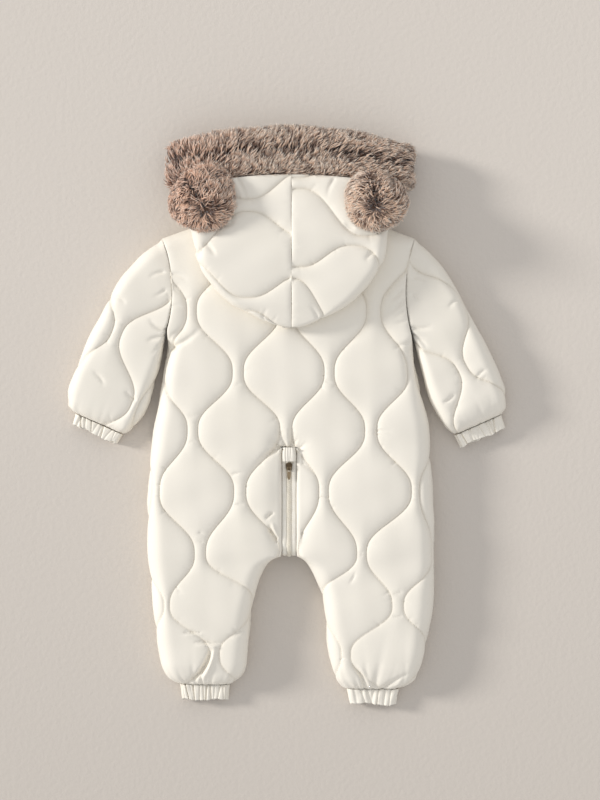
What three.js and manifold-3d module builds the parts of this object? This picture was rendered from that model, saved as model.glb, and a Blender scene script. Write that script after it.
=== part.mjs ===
// A quilted toddler snowsuit lying flat on its front, back panel up, hood thrown back over the shoulders.
// Millimetres. +X is to the right as the back is looked at, +Y towards the hood, +Z up from the surface.
// Every cloth piece is a closed wall: an outer skin that carries the quilting, a plain coarser inner skin,
// and a rim that joins them all round the cut edges.
import * as THREE from "three";
import { mergeVertices } from "three/addons/utils/BufferGeometryUtils.js";
import Module from "manifold-3d";

const wasm = await Module();
wasm.setup();

// Driving dimensions
const SEAM_GAP = 0.3; // between two pieces that are sewn together
const ARMHOLE_GAP = 0.5; // the same round the curved armholes, whose edges are made of short straight steps
const AIR = 3; // the most air left between the two layers of a laid panel or tube
const INNER_GAP = 0.6; // from the inner skin's edge to the plane between the layers
const SPLIT = 17; // height of the side seams, where back and front panels meet
const SNAP = 4.6; // points this near a stitch line are moved onto it, a little under half the grid's cell
const INSET = { rolled: 9, sewn: 2, zip: 0.5 }; // how far the inner skin stays in from each kind of edge
const COARSE = { rows: 2, columns: 3 }; // outer cells to one cell of the plain inner skin
const QUILT = { spacing: 54.2, swing: 21, half: 73.2, depth: 6, spread: 8 };
// Edge radii: rolled sides, their underside, sewn edges and the sleeve's ends
const ROLL = { top: 21, under: 14, seam: 7, zip: 6, sleeve: 18, sleeveEnd: 9, sleeveEndUnder: 7 };
const FRONT_ROLL = { seam: 3, zip: 2 }; // the fronts' small turn at the armholes and at the zip
const ZIP = { x: 3.5, opening: 17.6, top: -35.4, crotch: -169.6, front: 203 };
const TAPE = { width: 5.1, thick: 1.5, level: 33, floor: 2.2 };
const CHAIN = { width: 6, thick: 2.6, lift: 0.4 };
const HEM = { left: -327.5, right: -333 };
const SHOULDER = 220; // height up the picture of the shoulder tips, where the armholes start
const NECK = { half: 52, point: 257, back: 249, front: 206, roll: 16, turn: 8 };
const UNDERARM = { left: 108.6, right: 102.5 };

// Where a bulb of the quilting is centred on each panel, and the heading that its wavy lines run in
const FABRIC = {
  back: { x: -2.1, y: 59.8, heading: 90 },
  sleeve_left: { x: -156.9, y: 84.1, heading: 68.8 },
  sleeve_right: { x: 167.1, y: 35, heading: 118.6 },
  hood_left: { x: -47.6, y: 198.3, heading: 0 },
  hood_right: { x: 18.3, y: 231.8, heading: -13 },
};

// Outline of torso and legs: each row is a height up the picture and the edge's place there
const SIDE = {
  left: [
    { at: 108.6, x: -145.2 }, { at: 83, x: -147.6 }, { at: 59.8, x: -152 }, { at: 19.5, x: -157.4 },
    { at: -11, x: -162.5 }, { at: -64.7, x: -169.6 }, { at: -114.7, x: -172 }, { at: -164.7, x: -170.8 },
    { at: -202.5, x: -167.1 }, { at: -246.4, x: -162.3 }, { at: -284.3, x: -157.4 }, { at: -308.7, x: -151.9 },
    { at: -319, x: -146.5 }, { at: -325, x: -138.5 }, { at: -327.5, x: -132 },
  ],
  right: [
    { at: 102.5, x: 152.5 }, { at: 83, x: 156.2 }, { at: 46.4, x: 164.2 }, { at: 18.3, x: 170.2 },
    { at: -11, x: 175.7 }, { at: -40.3, x: 178.1 }, { at: -102.5, x: 180.6 }, { at: -152.5, x: 183 },
    { at: -202.5, x: 181.8 }, { at: -239, x: 179.3 }, { at: -272, x: 173.2 }, { at: -301.3, x: 167.1 },
    { at: -320.9, x: 159.6 }, { at: -330, x: 148.6 }, { at: -333, x: 140 },
  ],
};
const INSEAM = {
  left: [
    { at: -169.6, x: -5.3 }, { at: -172.5, x: -12.5 }, { at: -177, x: -19 }, { at: -186.7, x: -26.2 },
    { at: -209.8, x: -35 }, { at: -234.2, x: -41.5 }, { at: -264.7, x: -45.1 }, { at: -294, x: -47.6 },
    { at: -311.7, x: -51.2 }, { at: -321, x: -58 }, { at: -325.5, x: -64 }, { at: -327.5, x: -68.5 },
  ],
  right: [
    { at: -169.6, x: 12.3 }, { at: -172.8, x: 17.5 }, { at: -177.5, x: 22 }, { at: -195.2, x: 33.6 },
    { at: -214.7, x: 41.5 }, { at: -241.6, x: 46.4 }, { at: -276.9, x: 49.7 }, { at: -298.9, x: 53.7 },
    { at: -319.6, x: 59.6 }, { at: -328, x: 66 }, { at: -331.5, x: 70 }, { at: -333, x: 73 },
  ],
};
// Height of the crown over the surface, and how far the quilting drifts inwards down the legs
const BODY = [
  { at: 220, crown: 34, drift: 0, split: SPLIT }, { at: 150, crown: 37, drift: 0, split: SPLIT },
  { at: 0, crown: 38, drift: 0, split: SPLIT }, { at: -90, crown: 39, drift: 0, split: SPLIT },
  { at: -160, crown: 38, drift: 10, split: SPLIT }, { at: -230, crown: 37, drift: 22, split: SPLIT },
  { at: -300, crown: 34, drift: 27, split: SPLIT }, { at: -314, crown: 31, drift: 27, split: 14 },
  { at: -323, crown: 26, drift: 27, split: 11.5 }, { at: -327.5, crown: 20, drift: 27, split: 10 },
];
const DOME = 3; // the middle of the torso stands this much over its sides
// Lengths over which one kind of edge turns into the next, and the shoulders' slope fades out
const EASE = { underarm: 24, aboveCrotch: 10, belowCrotch: 14, shoulders: 70, cuff: 22 };

// Sleeves: outer and inner edge of each section, from the armhole to the cuff
const SLEEVE = {
  left: [
    { at: 0, ox: -152.5, oy: 220, ix: -145.2, iy: 108.6, bow: 9.5, crown: 35, split: 17 },
    { at: 19, ox: -169.6, oy: 207.4, ix: -150, iy: 90, bow: 6, crown: 35, split: 17 },
    { at: 38, ox: -186.7, oy: 191.5, ix: -152.5, iy: 74.4, bow: 3, crown: 35, split: 16.5 },
    { at: 64, ox: -211.1, oy: 161, ix: -155.5, iy: 59.8, bow: 1, crown: 35, split: 16 },
    { at: 93, ox: -231.2, oy: 122, ix: -158.5, iy: 46.4, bow: 0, crown: 35, split: 16 },
    { at: 122, ox: -249.5, oy: 85.4, ix: -163.5, iy: 29.3, bow: 0, crown: 35, split: 16 },
    { at: 150, ox: -263.5, oy: 53.7, ix: -171.4, iy: 9.8, bow: 0, crown: 35, split: 15 },
    { at: 173, ox: -271, oy: 29.3, ix: -181.8, iy: -8, bow: 0, crown: 33, split: 13.5 },
    { at: 184, ox: -270.5, oy: 16.6, ix: -190.3, iy: -16.6, bow: 0, crown: 29, split: 12 },
    { at: 190, ox: -265.5, oy: 9.4, ix: -196.8, iy: -19.3, bow: 0, crown: 23, split: 10 },
    { at: 193, ox: -260.4, oy: 6.3, ix: -201, iy: -19.8, bow: 0, crown: 17, split: 8 },
  ],
  right: [
    { at: 0, ox: 157.4, oy: 220, ix: 152.5, iy: 102.5, bow: 9, crown: 35, split: 17 },
    { at: 19, ox: 175.1, oy: 204.6, ix: 158.6, iy: 84.5, bow: 5, crown: 35, split: 17 },
    { at: 42, ox: 196.2, oy: 179.3, ix: 163.5, iy: 67, bow: 2, crown: 35, split: 16.5 },
    { at: 62, ox: 211.8, oy: 156.2, ix: 167.5, iy: 51.2, bow: 1, crown: 35, split: 16 },
    { at: 83, ox: 225.2, oy: 130.5, ix: 171, iy: 36.6, bow: 0, crown: 35, split: 16 },
    { at: 104, ox: 238.4, oy: 104.9, ix: 175.3, iy: 22, bow: 0, crown: 35, split: 16 },
    { at: 130, ox: 252.4, oy: 76.3, ix: 182.3, iy: 6.1, bow: 0, crown: 35, split: 15 },
    { at: 154, ox: 264, oy: 51.2, ix: 191.7, iy: -10.2, bow: 0, crown: 34, split: 14 },
    { at: 171, ox: 271.2, oy: 29.3, ix: 198.4, iy: -17.2, bow: 0, crown: 30, split: 12 },
    { at: 182, ox: 271.2, oy: 14.5, ix: 203.2, iy: -20.4, bow: 0, crown: 24, split: 10 },
    { at: 187, ox: 265.3, oy: 4.9, ix: 206.3, iy: -21.4, bow: 0, crown: 17, split: 8 },
  ],
};
// Elastic cuffs: two ends of the first and the last section, and the gathers that show on one side
const CUFFS = {
  cuff_left: { start: [-260, 5.3, -201.4, -20.8], end: [-263, -7.8, -208.6, -32.4], gathers: 9 },
  cuff_right: { start: [264.9, 3.9, 206.6, -22.2], end: [269.6, -12.6, 214.2, -36.4], gathers: 9 },
  ankle_left: { start: [-131, -328, -69.5, -328], end: [-128.3, -346.5, -71.5, -347], gathers: 12 },
  ankle_right: { start: [74, -333.6, 139, -333.6], end: [78, -351, 135, -353.6], gathers: 12 },
};
const CUFF = { crown: 15, fall: 1.5, split: 7.8, floor: 0.4, radius: 7, gather: 2.4, wall: 4 };

// Hood, flattened: half widths either side of its centre seam, and its lowest and highest level
const HOOD_SEAM_X = 6.5;
const HOOD = [
  { at: 296, left: 136, right: 139, floor: 8, crown: 47 },
  { at: 280, left: 137, right: 139, floor: 12, crown: 51 },
  { at: 262, left: 131, right: 132, floor: 23.5, crown: 57 },
  { at: 247, left: 126.5, right: 124.5, floor: 36.2, crown: 61 },
  { at: 223, left: 121, right: 117.5, floor: 38.6, crown: 65 },
  { at: 190, left: 115.8, right: 112.5, floor: 39.3, crown: 66.5 },
  { at: 165, left: 100.4, right: 96.5, floor: 40.2, crown: 66 },
  { at: 140, left: 76.5, right: 72, floor: 40.9, crown: 63.5 },
  { at: 125.7, left: 50.4, right: 49.5, floor: 41, crown: 60.5 },
  { at: 114.5, left: 26, right: 25, floor: 41.2, crown: 56.5 },
  { at: 110, left: 11, right: 10.5, floor: 42, crown: 53 },
];
const HOOD_SAG = { from: 225, to: 296, depth: 16 }; // the mouth's corners lie this far below its middle
const HOOD_SEAM = { radius: 5, deep: 4 }; // how the panels turn in at the centre seam
const HOOD_FOLD = { ofDepth: 0.55, ofWidth: 0.8 }; // the side fold's radius, whichever is the less

// Fur trim: a thick band round the hood's mouth, flattened into an upper and a lower strand
const TRIM = {
  left: -148.5, right: 156.5, middle: 4, thick: 22, low: 11.2, high: 36.8,
  top: 353.8, topFall: 24, foot: 297, footFall: 15, fallPower: 2.2, reach: 150, lump: 1.3,
};
const EARS = {
  ear_left: { x: -101, y: 266, rx: 40.5, ry: 38, turn: 35 },
  ear_right: { x: 109, y: 263, rx: 37.5, ry: 35, turn: -30 },
};
// An ear's thickness, the share of it at the rim and under the middle, its three soft folds, and how it rests
// on the hood: just off the crown, never lower than "least", and drooping past the hood's side
const EAR = { thick: 26, rim: 0.28, fold: 0.05, rest: -1.2, least: 48.5, droopFrom: 100, droop: 0.0035 };

const COLOUR = { shell: "#ece5d6", fur: "#8e7465", tape: "#dfd5c2", metal: "#77726a" };

const lerp = THREE.MathUtils.lerp;
const radians = THREE.MathUtils.degToRad;
const smooth = THREE.MathUtils.smoothstep;

// A smooth curve through one column of a table, with no overshoot. Rows may run up or down in "at".
function track(table, column) {
  const rows = [...table].sort((a, b) => a.at - b.at);
  const steps = rows.slice(1).map((r, i) => (r[column] - rows[i][column]) / (r.at - rows[i].at));
  const slopes = rows.map((r, i) => {
    if (i === 0) return steps[0];
    if (i === rows.length - 1) return steps[i - 1];
    const [a, b] = [steps[i - 1], steps[i]];
    return a * b <= 0 ? 0 : (2 * a * b) / (a + b);
  });
  return (at) => {
    const t = Math.min(Math.max(at, rows[0].at), rows[rows.length - 1].at);
    let i = rows.findIndex((r) => r.at > t) - 1;
    if (i < 0) i = rows.length - 2;
    const span = rows[i + 1].at - rows[i].at;
    const u = (t - rows[i].at) / span;
    return (
      rows[i][column] * (1 + 2 * u) * (1 - u) ** 2 + rows[i + 1][column] * u * u * (3 - 2 * u) +
      span * (slopes[i] * u * (1 - u) ** 2 - slopes[i + 1] * u * u * (1 - u))
    );
  };
}

// A closed body from a list of points and triangles, its faces turned to point out
function closedGeometry(points, faces) {
  let volume = 0;
  const [a, b, c] = [new THREE.Vector3(), new THREE.Vector3(), new THREE.Vector3()];
  for (const f of faces) {
    a.fromArray(points[f[0]]);
    b.fromArray(points[f[1]]);
    c.fromArray(points[f[2]]);
    volume += a.dot(b.cross(c));
  }
  const index = volume < 0 ? faces.flatMap(([i, j, k]) => [i, k, j]) : faces.flat();
  const geometry = new THREE.BufferGeometry();
  geometry.setAttribute("position", new THREE.Float32BufferAttribute(points.flat(), 3));
  geometry.setIndex(index);
  return geometry;
}

// The cloth wall. The outer skin is a fine grid, the inner skin uses only the coarse rows and columns.
// has(r, c) says which cells of the grid are cloth; it is the same all over a coarse block.
function clothWall({ coarseRows, coarseColumns, ring = false, has = () => true, outer, inner, stitched }) {
  const lastColumn = coarseColumns[coarseColumns.length - 1];
  const points = [];
  const faces = [];
  const known = new Map();
  const vertex = (skin, r, c) => {
    const column = ring && c === lastColumn ? 0 : c;
    const key = skin + r + "," + column;
    if (!known.has(key)) known.set(key, points.push((skin === "o" ? outer : inner)(r, column)) - 1);
    return known.get(key);
  };
  const onLine = (r, c) => stitched?.(r, ring && c === lastColumn ? 0 : c);
  for (let r = 0; r < coarseRows[coarseRows.length - 1]; r++)
    for (let c = 0; c < lastColumn; c++) {
      if (!has(r, c)) continue;
      const [p, q] = [vertex("o", r, c), vertex("o", r + 1, c)];
      const [s, t] = [vertex("o", r + 1, c + 1), vertex("o", r, c + 1)];
      const across = onLine(r + 1, c) && onLine(r, c + 1) && !(onLine(r, c) && onLine(r + 1, c + 1));
      if (across) faces.push([p, q, t], [q, s, t]);
      else faces.push([p, q, s], [p, s, t]);
    }
  const blockAt = (i, j) => {
    const columns = coarseColumns.length - 1;
    const k = ring ? (j + columns) % columns : j;
    const onGrid = i >= 0 && i < coarseRows.length - 1 && k >= 0 && k < columns;
    return onGrid && has(coarseRows[i], coarseColumns[k]);
  };
  // A rim along one side of a block: chain holds the outer points from a to b
  const rim = (chain, a, b) => {
    const middle = Math.floor((chain.length - 1) / 2);
    for (let i = 0; i < chain.length - 1; i++) faces.push([chain[i + 1], chain[i], i < middle ? a : b]);
    faces.push([chain[middle], a, b]);
  };
  const run = (from, to) =>
    Array.from({ length: Math.abs(to - from) + 1 }, (_, k) => from + k * Math.sign(to - from));
  for (let i = 0; i < coarseRows.length - 1; i++)
    for (let j = 0; j < coarseColumns.length - 1; j++) {
      if (!blockAt(i, j)) continue;
      const [r0, r1] = [coarseRows[i], coarseRows[i + 1]];
      const [c0, c1] = [coarseColumns[j], coarseColumns[j + 1]];
      const [p, q] = [vertex("i", r0, c0), vertex("i", r1, c0)];
      const [s, t] = [vertex("i", r1, c1), vertex("i", r0, c1)];
      faces.push([p, s, q], [p, t, s]);
      if (!blockAt(i, j - 1)) rim(run(r0, r1).map((r) => vertex("o", r, c0)), p, q);
      if (!blockAt(i + 1, j)) rim(run(c0, c1).map((c) => vertex("o", r1, c)), q, s);
      if (!blockAt(i, j + 1)) rim(run(r1, r0).map((r) => vertex("o", r, c1)), s, t);
      if (!blockAt(i - 1, j)) rim(run(c1, c0).map((c) => vertex("o", r0, c)), t, p);
    }
  return closedGeometry(points, faces);
}

// Distance to the nearest wavy stitch line, and the direction in which that distance grows
function nearestStitch(x, y, fabric) {
  const [sin, cos] = [Math.sin(radians(fabric.heading)), Math.cos(radians(fabric.heading))];
  const along = (x - fabric.x) * cos + (y - fabric.y) * sin;
  const across = (x - fabric.x) * sin - (y - fabric.y) * cos;
  const phase = (Math.PI * along) / QUILT.half;
  const first = Math.floor(across / QUILT.spacing);
  let best = null;
  for (let k = first - 1; k <= first + 1; k++) {
    const side = k % 2 === 0 ? 1 : -1;
    const line = (k + 0.5) * QUILT.spacing + side * QUILT.swing * Math.cos(phase);
    const slope = ((-side * QUILT.swing * Math.PI) / QUILT.half) * Math.sin(phase);
    const steep = Math.hypot(1, slope);
    const distance = (across - line) / steep;
    if (best && Math.abs(best.distance) <= Math.abs(distance)) continue;
    best = { distance, x: (sin - slope * cos) / steep, y: (-cos - slope * sin) / steep };
  }
  return best;
}

// Moves a point that lies within reach of a stitch line onto it
function snapToStitch(x, y, fabric, reach) {
  let near = nearestStitch(x, y, fabric);
  if (Math.abs(near.distance) > reach) return { x, y, distance: Math.abs(near.distance) };
  const point = { x, y, distance: 0 };
  for (let i = 0; i < 2; i++) {
    point.x -= near.distance * near.x;
    point.y -= near.distance * near.y;
    near = nearestStitch(point.x, point.y, fabric);
  }
  return point;
}

// Length of the cloth that rolls over an edge of this radius and rise
const rollLength = (radius, rise) => (Math.PI / 2) * Math.sqrt((radius * radius + rise * rise) / 2);

// One section of laid cloth. c is measured along the cloth and equals the plan distance from the section's
// origin wherever the cloth lies flat. Gives how far in the point lies, its level, and its share of the roll.
function roll(section, c, sink, up) {
  const level = up ? section.crown : section.floor;
  const edges = [section.near, section.far].map((e) => {
    const radius = up ? e.radius : e.underRadius;
    const base = up ? e.base : e.underBase;
    return { radius, base, rise: Math.abs(level - base), length: rollLength(radius, Math.abs(level - base)) };
  });
  const sign = up ? 1 : -1;
  const ends = [c + edges[0].length - edges[0].radius, section.width - c + edges[1].length - edges[1].radius];
  const k = ends[0] / (edges[0].length || 1) < ends[1] / (edges[1].length || 1) ? 0 : 1;
  const edge = edges[k];
  if (edge.radius === 0 || ends[k] >= edge.length) return { inward: c, z: level - sign * sink, share: 1 };
  const turn = ((Math.PI / 2) * Math.max(ends[k], 0)) / edge.length;
  const dent = Math.min(sink, edge.radius);
  const inward = edge.radius - (edge.radius - dent) * Math.cos(turn);
  return {
    inward: k === 0 ? inward : section.width - inward,
    z: edge.base + sign * (edge.rise - dent) * Math.sin(turn),
    share: Math.sin(turn),
  };
}

// Range of c over a section's upper or under side
function clothRange(section, up) {
  const level = up ? section.crown : section.floor;
  const spare = (e) => {
    const radius = up ? e.radius : e.underRadius;
    return rollLength(radius, Math.abs(level - (up ? e.base : e.underBase))) - radius;
  };
  return [-spare(section.near), section.width + spare(section.far)];
}

// The point in space of a section's cloth at c, moved by shift along the piece
function lay(section, c, { sink = 0, shift = 0, up = true } = {}) {
  const { inward, z, share } = roll(section, c, sink, up);
  const lift = (section.lift?.(inward) ?? 0) + shift;
  const dome = up ? (section.dome?.(inward) ?? 0) * share : 0;
  const end = section.end ?? 1;
  const seam = section.split + (up ? 1 : -1) * (SEAM_GAP / 2);
  return [
    section.origin.x + section.across.x * inward + section.along.x * lift,
    section.origin.y + section.across.y * inward + section.along.y * lift,
    seam + (z + dome - seam) * end,
  ];
}

// A point of the quilted upper side: free points are drawn onto nearby stitch lines and sunk towards them
function layQuilted(section, c, fabric, free) {
  const inward = Math.min(Math.max(c, 0), section.width);
  const lift = section.lift?.(inward) ?? 0;
  const x = section.origin.x + section.across.x * c + section.along.x * lift + (section.drift ?? 0);
  const y = section.origin.y + section.across.y * c + section.along.y * lift;
  const spot = free ? snapToStitch(x, y, fabric, SNAP) : { x, y, distance: Infinity };
  const move = { x: spot.x - x, y: spot.y - y };
  const sink = QUILT.depth * Math.exp(-spot.distance / QUILT.spread);
  const point = lay(section, c + move.x * section.across.x + move.y * section.across.y, {
    sink,
    shift: move.x * section.along.x + move.y * section.along.y,
  });
  return { point, stitched: spot.distance === 0 };
}

const evenSteps = (from, to, count) => Array.from({ length: count }, (_, i) => lerp(from, to, (i + 1) / count));
const every = (step, from, to) => Array.from({ length: (to - from) / step + 1 }, (_, i) => from + i * step);
const everyToLast = (step, last) => [...every(step, 0, last - (last % step)), ...(last % step ? [last] : [])];

// Rows of the body: heights up the picture on the left half; the right leg's rows are stretched to its own hem
const TOP_ROWS = [220, 218.4, 214.5, 208, 199];
const CROTCH_ROWS = [-172.2, -177, -184, -193.5, -204];
const HEM_ROWS = [-309, -317, -323.5, HEM.left];
const ROWS = [
  ...TOP_ROWS, ...evenSteps(199, ZIP.top, 24), ...evenSteps(ZIP.top, ZIP.crotch, 14),
  ...CROTCH_ROWS, ...evenSteps(-204, -300, 10), ...HEM_ROWS,
];
const ZIP_ROW = TOP_ROWS.length - 1 + 24;
const rowHeight = (side, r) => {
  const y = ROWS[r];
  if (side === "left" || y > ZIP.crotch) return y;
  return lerp(ZIP.crotch, HEM.right, (y - ZIP.crotch) / (HEM.left - ZIP.crotch));
};

const body = {
  crown: track(BODY, "crown"),
  drift: track(BODY, "drift"),
  split: track(BODY, "split"),
  side: { left: track(SIDE.left, "x"), right: track(SIDE.right, "x") },
  inseam: { left: track(INSEAM.left, "x"), right: track(INSEAM.right, "x") },
};

// The armhole's edge, shared by the torso and the sleeve: a chord that bows in towards the torso
function armholeX(side, y) {
  const first = SLEEVE[side][0];
  const f = (SHOULDER - y) / (SHOULDER - first.iy);
  const inwards = side === "left" ? 1 : -1;
  return lerp(first.ox, first.ix, f) + inwards * first.bow * 4 * f * (1 - f);
}

const outerX = (side, y) => (y > UNDERARM[side] ? armholeX(side, y) : body.side[side](y));
const zipEdgeX = (side) => ZIP.x + (side === "left" ? -0.5 : 0.5) * ZIP.opening;
const innerX = (side, y) => (y > ZIP.crotch ? zipEdgeX(side) : body.inseam[side](y));

// The line of the shoulders and the neck, over the level of the shoulder tips
function topLine(x, neckLevel) {
  const reach = Math.abs(x - ZIP.x);
  if (reach < NECK.half) {
    const dip = 0.5 + 0.5 * Math.cos((Math.PI * reach) / NECK.half);
    return lerp(NECK.point, neckLevel, dip) - SHOULDER;
  }
  const tip = Math.abs((x < 0 ? SLEEVE.left[0].ox : SLEEVE.right[0].ox) - ZIP.x);
  const share = Math.min(1, (reach - NECK.half) / (tip - NECK.half));
  return (NECK.point - SHOULDER) * (1 - share);
}

// Left and right edge of one part of the body at a height
function halfEdges(part, y) {
  if (part === "centre") return [zipEdgeX("left"), zipEdgeX("right")];
  return part === "left" ? [outerX(part, y), innerX(part, y)] : [innerX(part, y), outerX(part, y)];
}

// A section across one half of the body at row r, from its left edge to its right edge.
// part is left, centre (the strip over the zip) or right. level is the neck's height for back or front.
function bodySection(part, r, level) {
  const side = part === "centre" ? "left" : part;
  const y = rowHeight(side, r);
  const crown = body.crown(ROWS[r]);
  const split = body.split(ROWS[r]);
  const sewn = smooth(y, UNDERARM[side] - EASE.underarm, UNDERARM[side]);
  const leg = 1 - smooth(y, ZIP.crotch - EASE.belowCrotch, ZIP.crotch + EASE.aboveCrotch);
  const slit = r >= ZIP_ROW ? 1 : 0;
  const zipRoll = ROLL.zip * slit;
  const small = (size) => ({ underRadius: size, underBase: size });
  const rolled = {
    radius: ROLL.top, base: split + SEAM_GAP / 2, underRadius: ROLL.under, underBase: split - SEAM_GAP / 2,
  };
  const joined = { radius: ROLL.seam, base: crown - ROLL.seam, ...small(FRONT_ROLL.seam) };
  const atZip = { radius: zipRoll, base: crown - zipRoll, ...small(FRONT_ROLL.zip) };
  const mix = (a, b, t) => Object.fromEntries(Object.keys(a).map((k) => [k, lerp(a[k], b[k], t)]));
  const outerEdge = mix(rolled, joined, sewn);
  const innerEdge = mix(atZip, rolled, leg);
  outerEdge.inset = lerp(INSET.rolled, INSET.sewn, sewn);
  innerEdge.inset = lerp(part === "centre" || slit === 0 ? 0 : INSET.zip, INSET.rolled, leg);
  const xs = halfEdges(part, y);
  const bare = { radius: 0, base: crown, underRadius: 0, underBase: 0, inset: 0 };
  const ends = { left: [outerEdge, innerEdge], centre: [bare, bare], right: [innerEdge, outerEdge] };
  const [near, far] = ends[part];
  const fade = smooth(y, SHOULDER - EASE.shoulders, SHOULDER);
  const fromTop = Math.min(1, (SHOULDER - y) / NECK.roll);
  const torso = [outerX("left", y), outerX("right", y)];
  const acrossTorso = (x) => (2 * (x - torso[0])) / (torso[1] - torso[0]) - 1;
  return {
    part, origin: { x: xs[0], y }, across: { x: 1, y: 0 }, along: { x: 0, y: 1 }, width: xs[1] - xs[0],
    crown, split, floor: 0, near, far, fade,
    drift: part === "right" ? body.drift(y) : -body.drift(y),
    end: Math.sqrt(1 - (1 - fromTop) ** 2),
    lift: (inward) => topLine(xs[0] + inward, level) * fade,
    dome: (inward) => DOME * (1 - leg) * Math.max(0, 1 - acrossTorso(xs[0] + inward) ** 2),
  };
}

// The inner skin of a body panel: plain, close to the split between the layers, and set back from the top edge
function innerBody(section, f, up) {
  const y = section.origin.y - NECK.turn * section.fade;
  const [from, to] = halfEdges(section.part, y);
  const x = lerp(from + section.near.inset, to - section.far.inset, f);
  const gap = INNER_GAP + (AIR / 2 - INNER_GAP) * Math.sqrt(Math.max(0, 4 * f * (1 - f)));
  return [x, y + section.lift(x - section.origin.x), section.split + (up ? gap : -gap)];
}

// Which part of the body a grid column lies on, and how far across it
function bodyColumn(c, perHalf) {
  if (c <= perHalf) return { part: "left", f: c / perHalf };
  if (c < perHalf + 2) return { part: "centre", f: (c - perHalf) / 2 };
  return { part: "right", f: (c - perHalf - 2) / perHalf };
}

function makeBack() {
  const perHalf = 18;
  const columns = 2 * perHalf + 2;
  const lastRow = ROWS.length - 1;
  const sections = ROWS.map((_, r) =>
    Object.fromEntries(["left", "centre", "right"].map((part) => [part, bodySection(part, r, NECK.back)])),
  );
  const spots = new Map();
  const spot = (r, c) => {
    const key = r * 1000 + c;
    if (spots.has(key)) return spots.get(key);
    const { part, f } = bodyColumn(c, perHalf);
    const section = sections[r][part];
    const [from, to] = clothRange(section, true);
    const slitEdge = r >= ZIP_ROW && (c === perHalf || c === perHalf + 2);
    const nearSlit = r >= ZIP_ROW - 1 && c >= perHalf && c <= perHalf + 2;
    const free = r > 0 && r < lastRow && c > 0 && c < columns && !slitEdge && !nearSlit;
    spots.set(key, layQuilted(section, lerp(from, to, f), FABRIC.back, free));
    return spots.get(key);
  };
  return clothWall({
    coarseRows: everyToLast(COARSE.rows, lastRow),
    coarseColumns: [...every(COARSE.columns, 0, perHalf), ...every(COARSE.columns, perHalf + 2, columns)],
    has: (r, c) => r < ZIP_ROW || c < perHalf || c >= perHalf + 2,
    outer: (r, c) => spot(r, c).point,
    stitched: (r, c) => spot(r, c).stitched,
    inner: (r, c) => {
      const { part, f } = bodyColumn(c, perHalf);
      return innerBody(sections[r][part], f, true);
    },
  });
}

function makeFront(side) {
  const columns = 8;
  const chordRoom = 0.4; // the fronts' coarser rows cut across the armhole's curve, so they stay this far in
  const rows = ROWS.map((_, r) => r).filter((r) => r % 2 === 0 || r < 4 || r >= ROWS.length - 5);
  const count = rows.length - 1;
  const sections = rows.map((r) => {
    const section = bodySection(side, r, NECK.front);
    const sewn = rowHeight(side, r) > UNDERARM[side] - 1;
    if (sewn && side === "left") section.origin.x += chordRoom;
    if (sewn) section.width -= chordRoom;
    return section;
  });
  return clothWall({
    coarseRows: everyToLast(COARSE.rows, count),
    coarseColumns: every(2, 0, columns),
    outer: (r, c) => {
      const [from, to] = clothRange(sections[r], false);
      return lay(sections[r], lerp(from, to, c / columns), { up: false });
    },
    inner: (r, c) => innerBody(sections[r], c / columns, false),
  });
}

// A flattened tube of cloth from a list of sections, wide side up: upper columns first, then the under ones
function tubeWall({ sections, upper, under, coarseRows, columnStep, inset, outerPoint, stitched }) {
  return clothWall({
    ring: true,
    coarseRows,
    coarseColumns: every(columnStep, 0, upper + under),
    outer: (r, c) => outerPoint(r, c),
    stitched,
    inner: (r, c) => {
      const s = sections[r];
      const f = c <= upper ? c / upper : 1 - (c - upper) / under;
      const inward = lerp(inset, s.width - inset, f);
      const lift = s.lift?.(inward) ?? 0;
      const gap = (AIR / 2) * Math.sqrt(Math.max(0, 4 * f * (1 - f)));
      return [
        s.origin.x + s.across.x * inward + s.along.x * lift,
        s.origin.y + s.across.y * inward + s.along.y * lift,
        s.split + (c <= upper ? gap : -gap),
      ];
    },
  });
}

// A section across a tube, between two points in plan
function chordSection(ox, oy, ix, iy, sideSign, extra) {
  const width = Math.hypot(ix - ox, iy - oy);
  const across = { x: (ix - ox) / width, y: (iy - oy) / width };
  return {
    origin: { x: ox, y: oy }, across, width,
    along: { x: sideSign * across.y, y: -sideSign * across.x },
    ...extra,
  };
}

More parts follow.
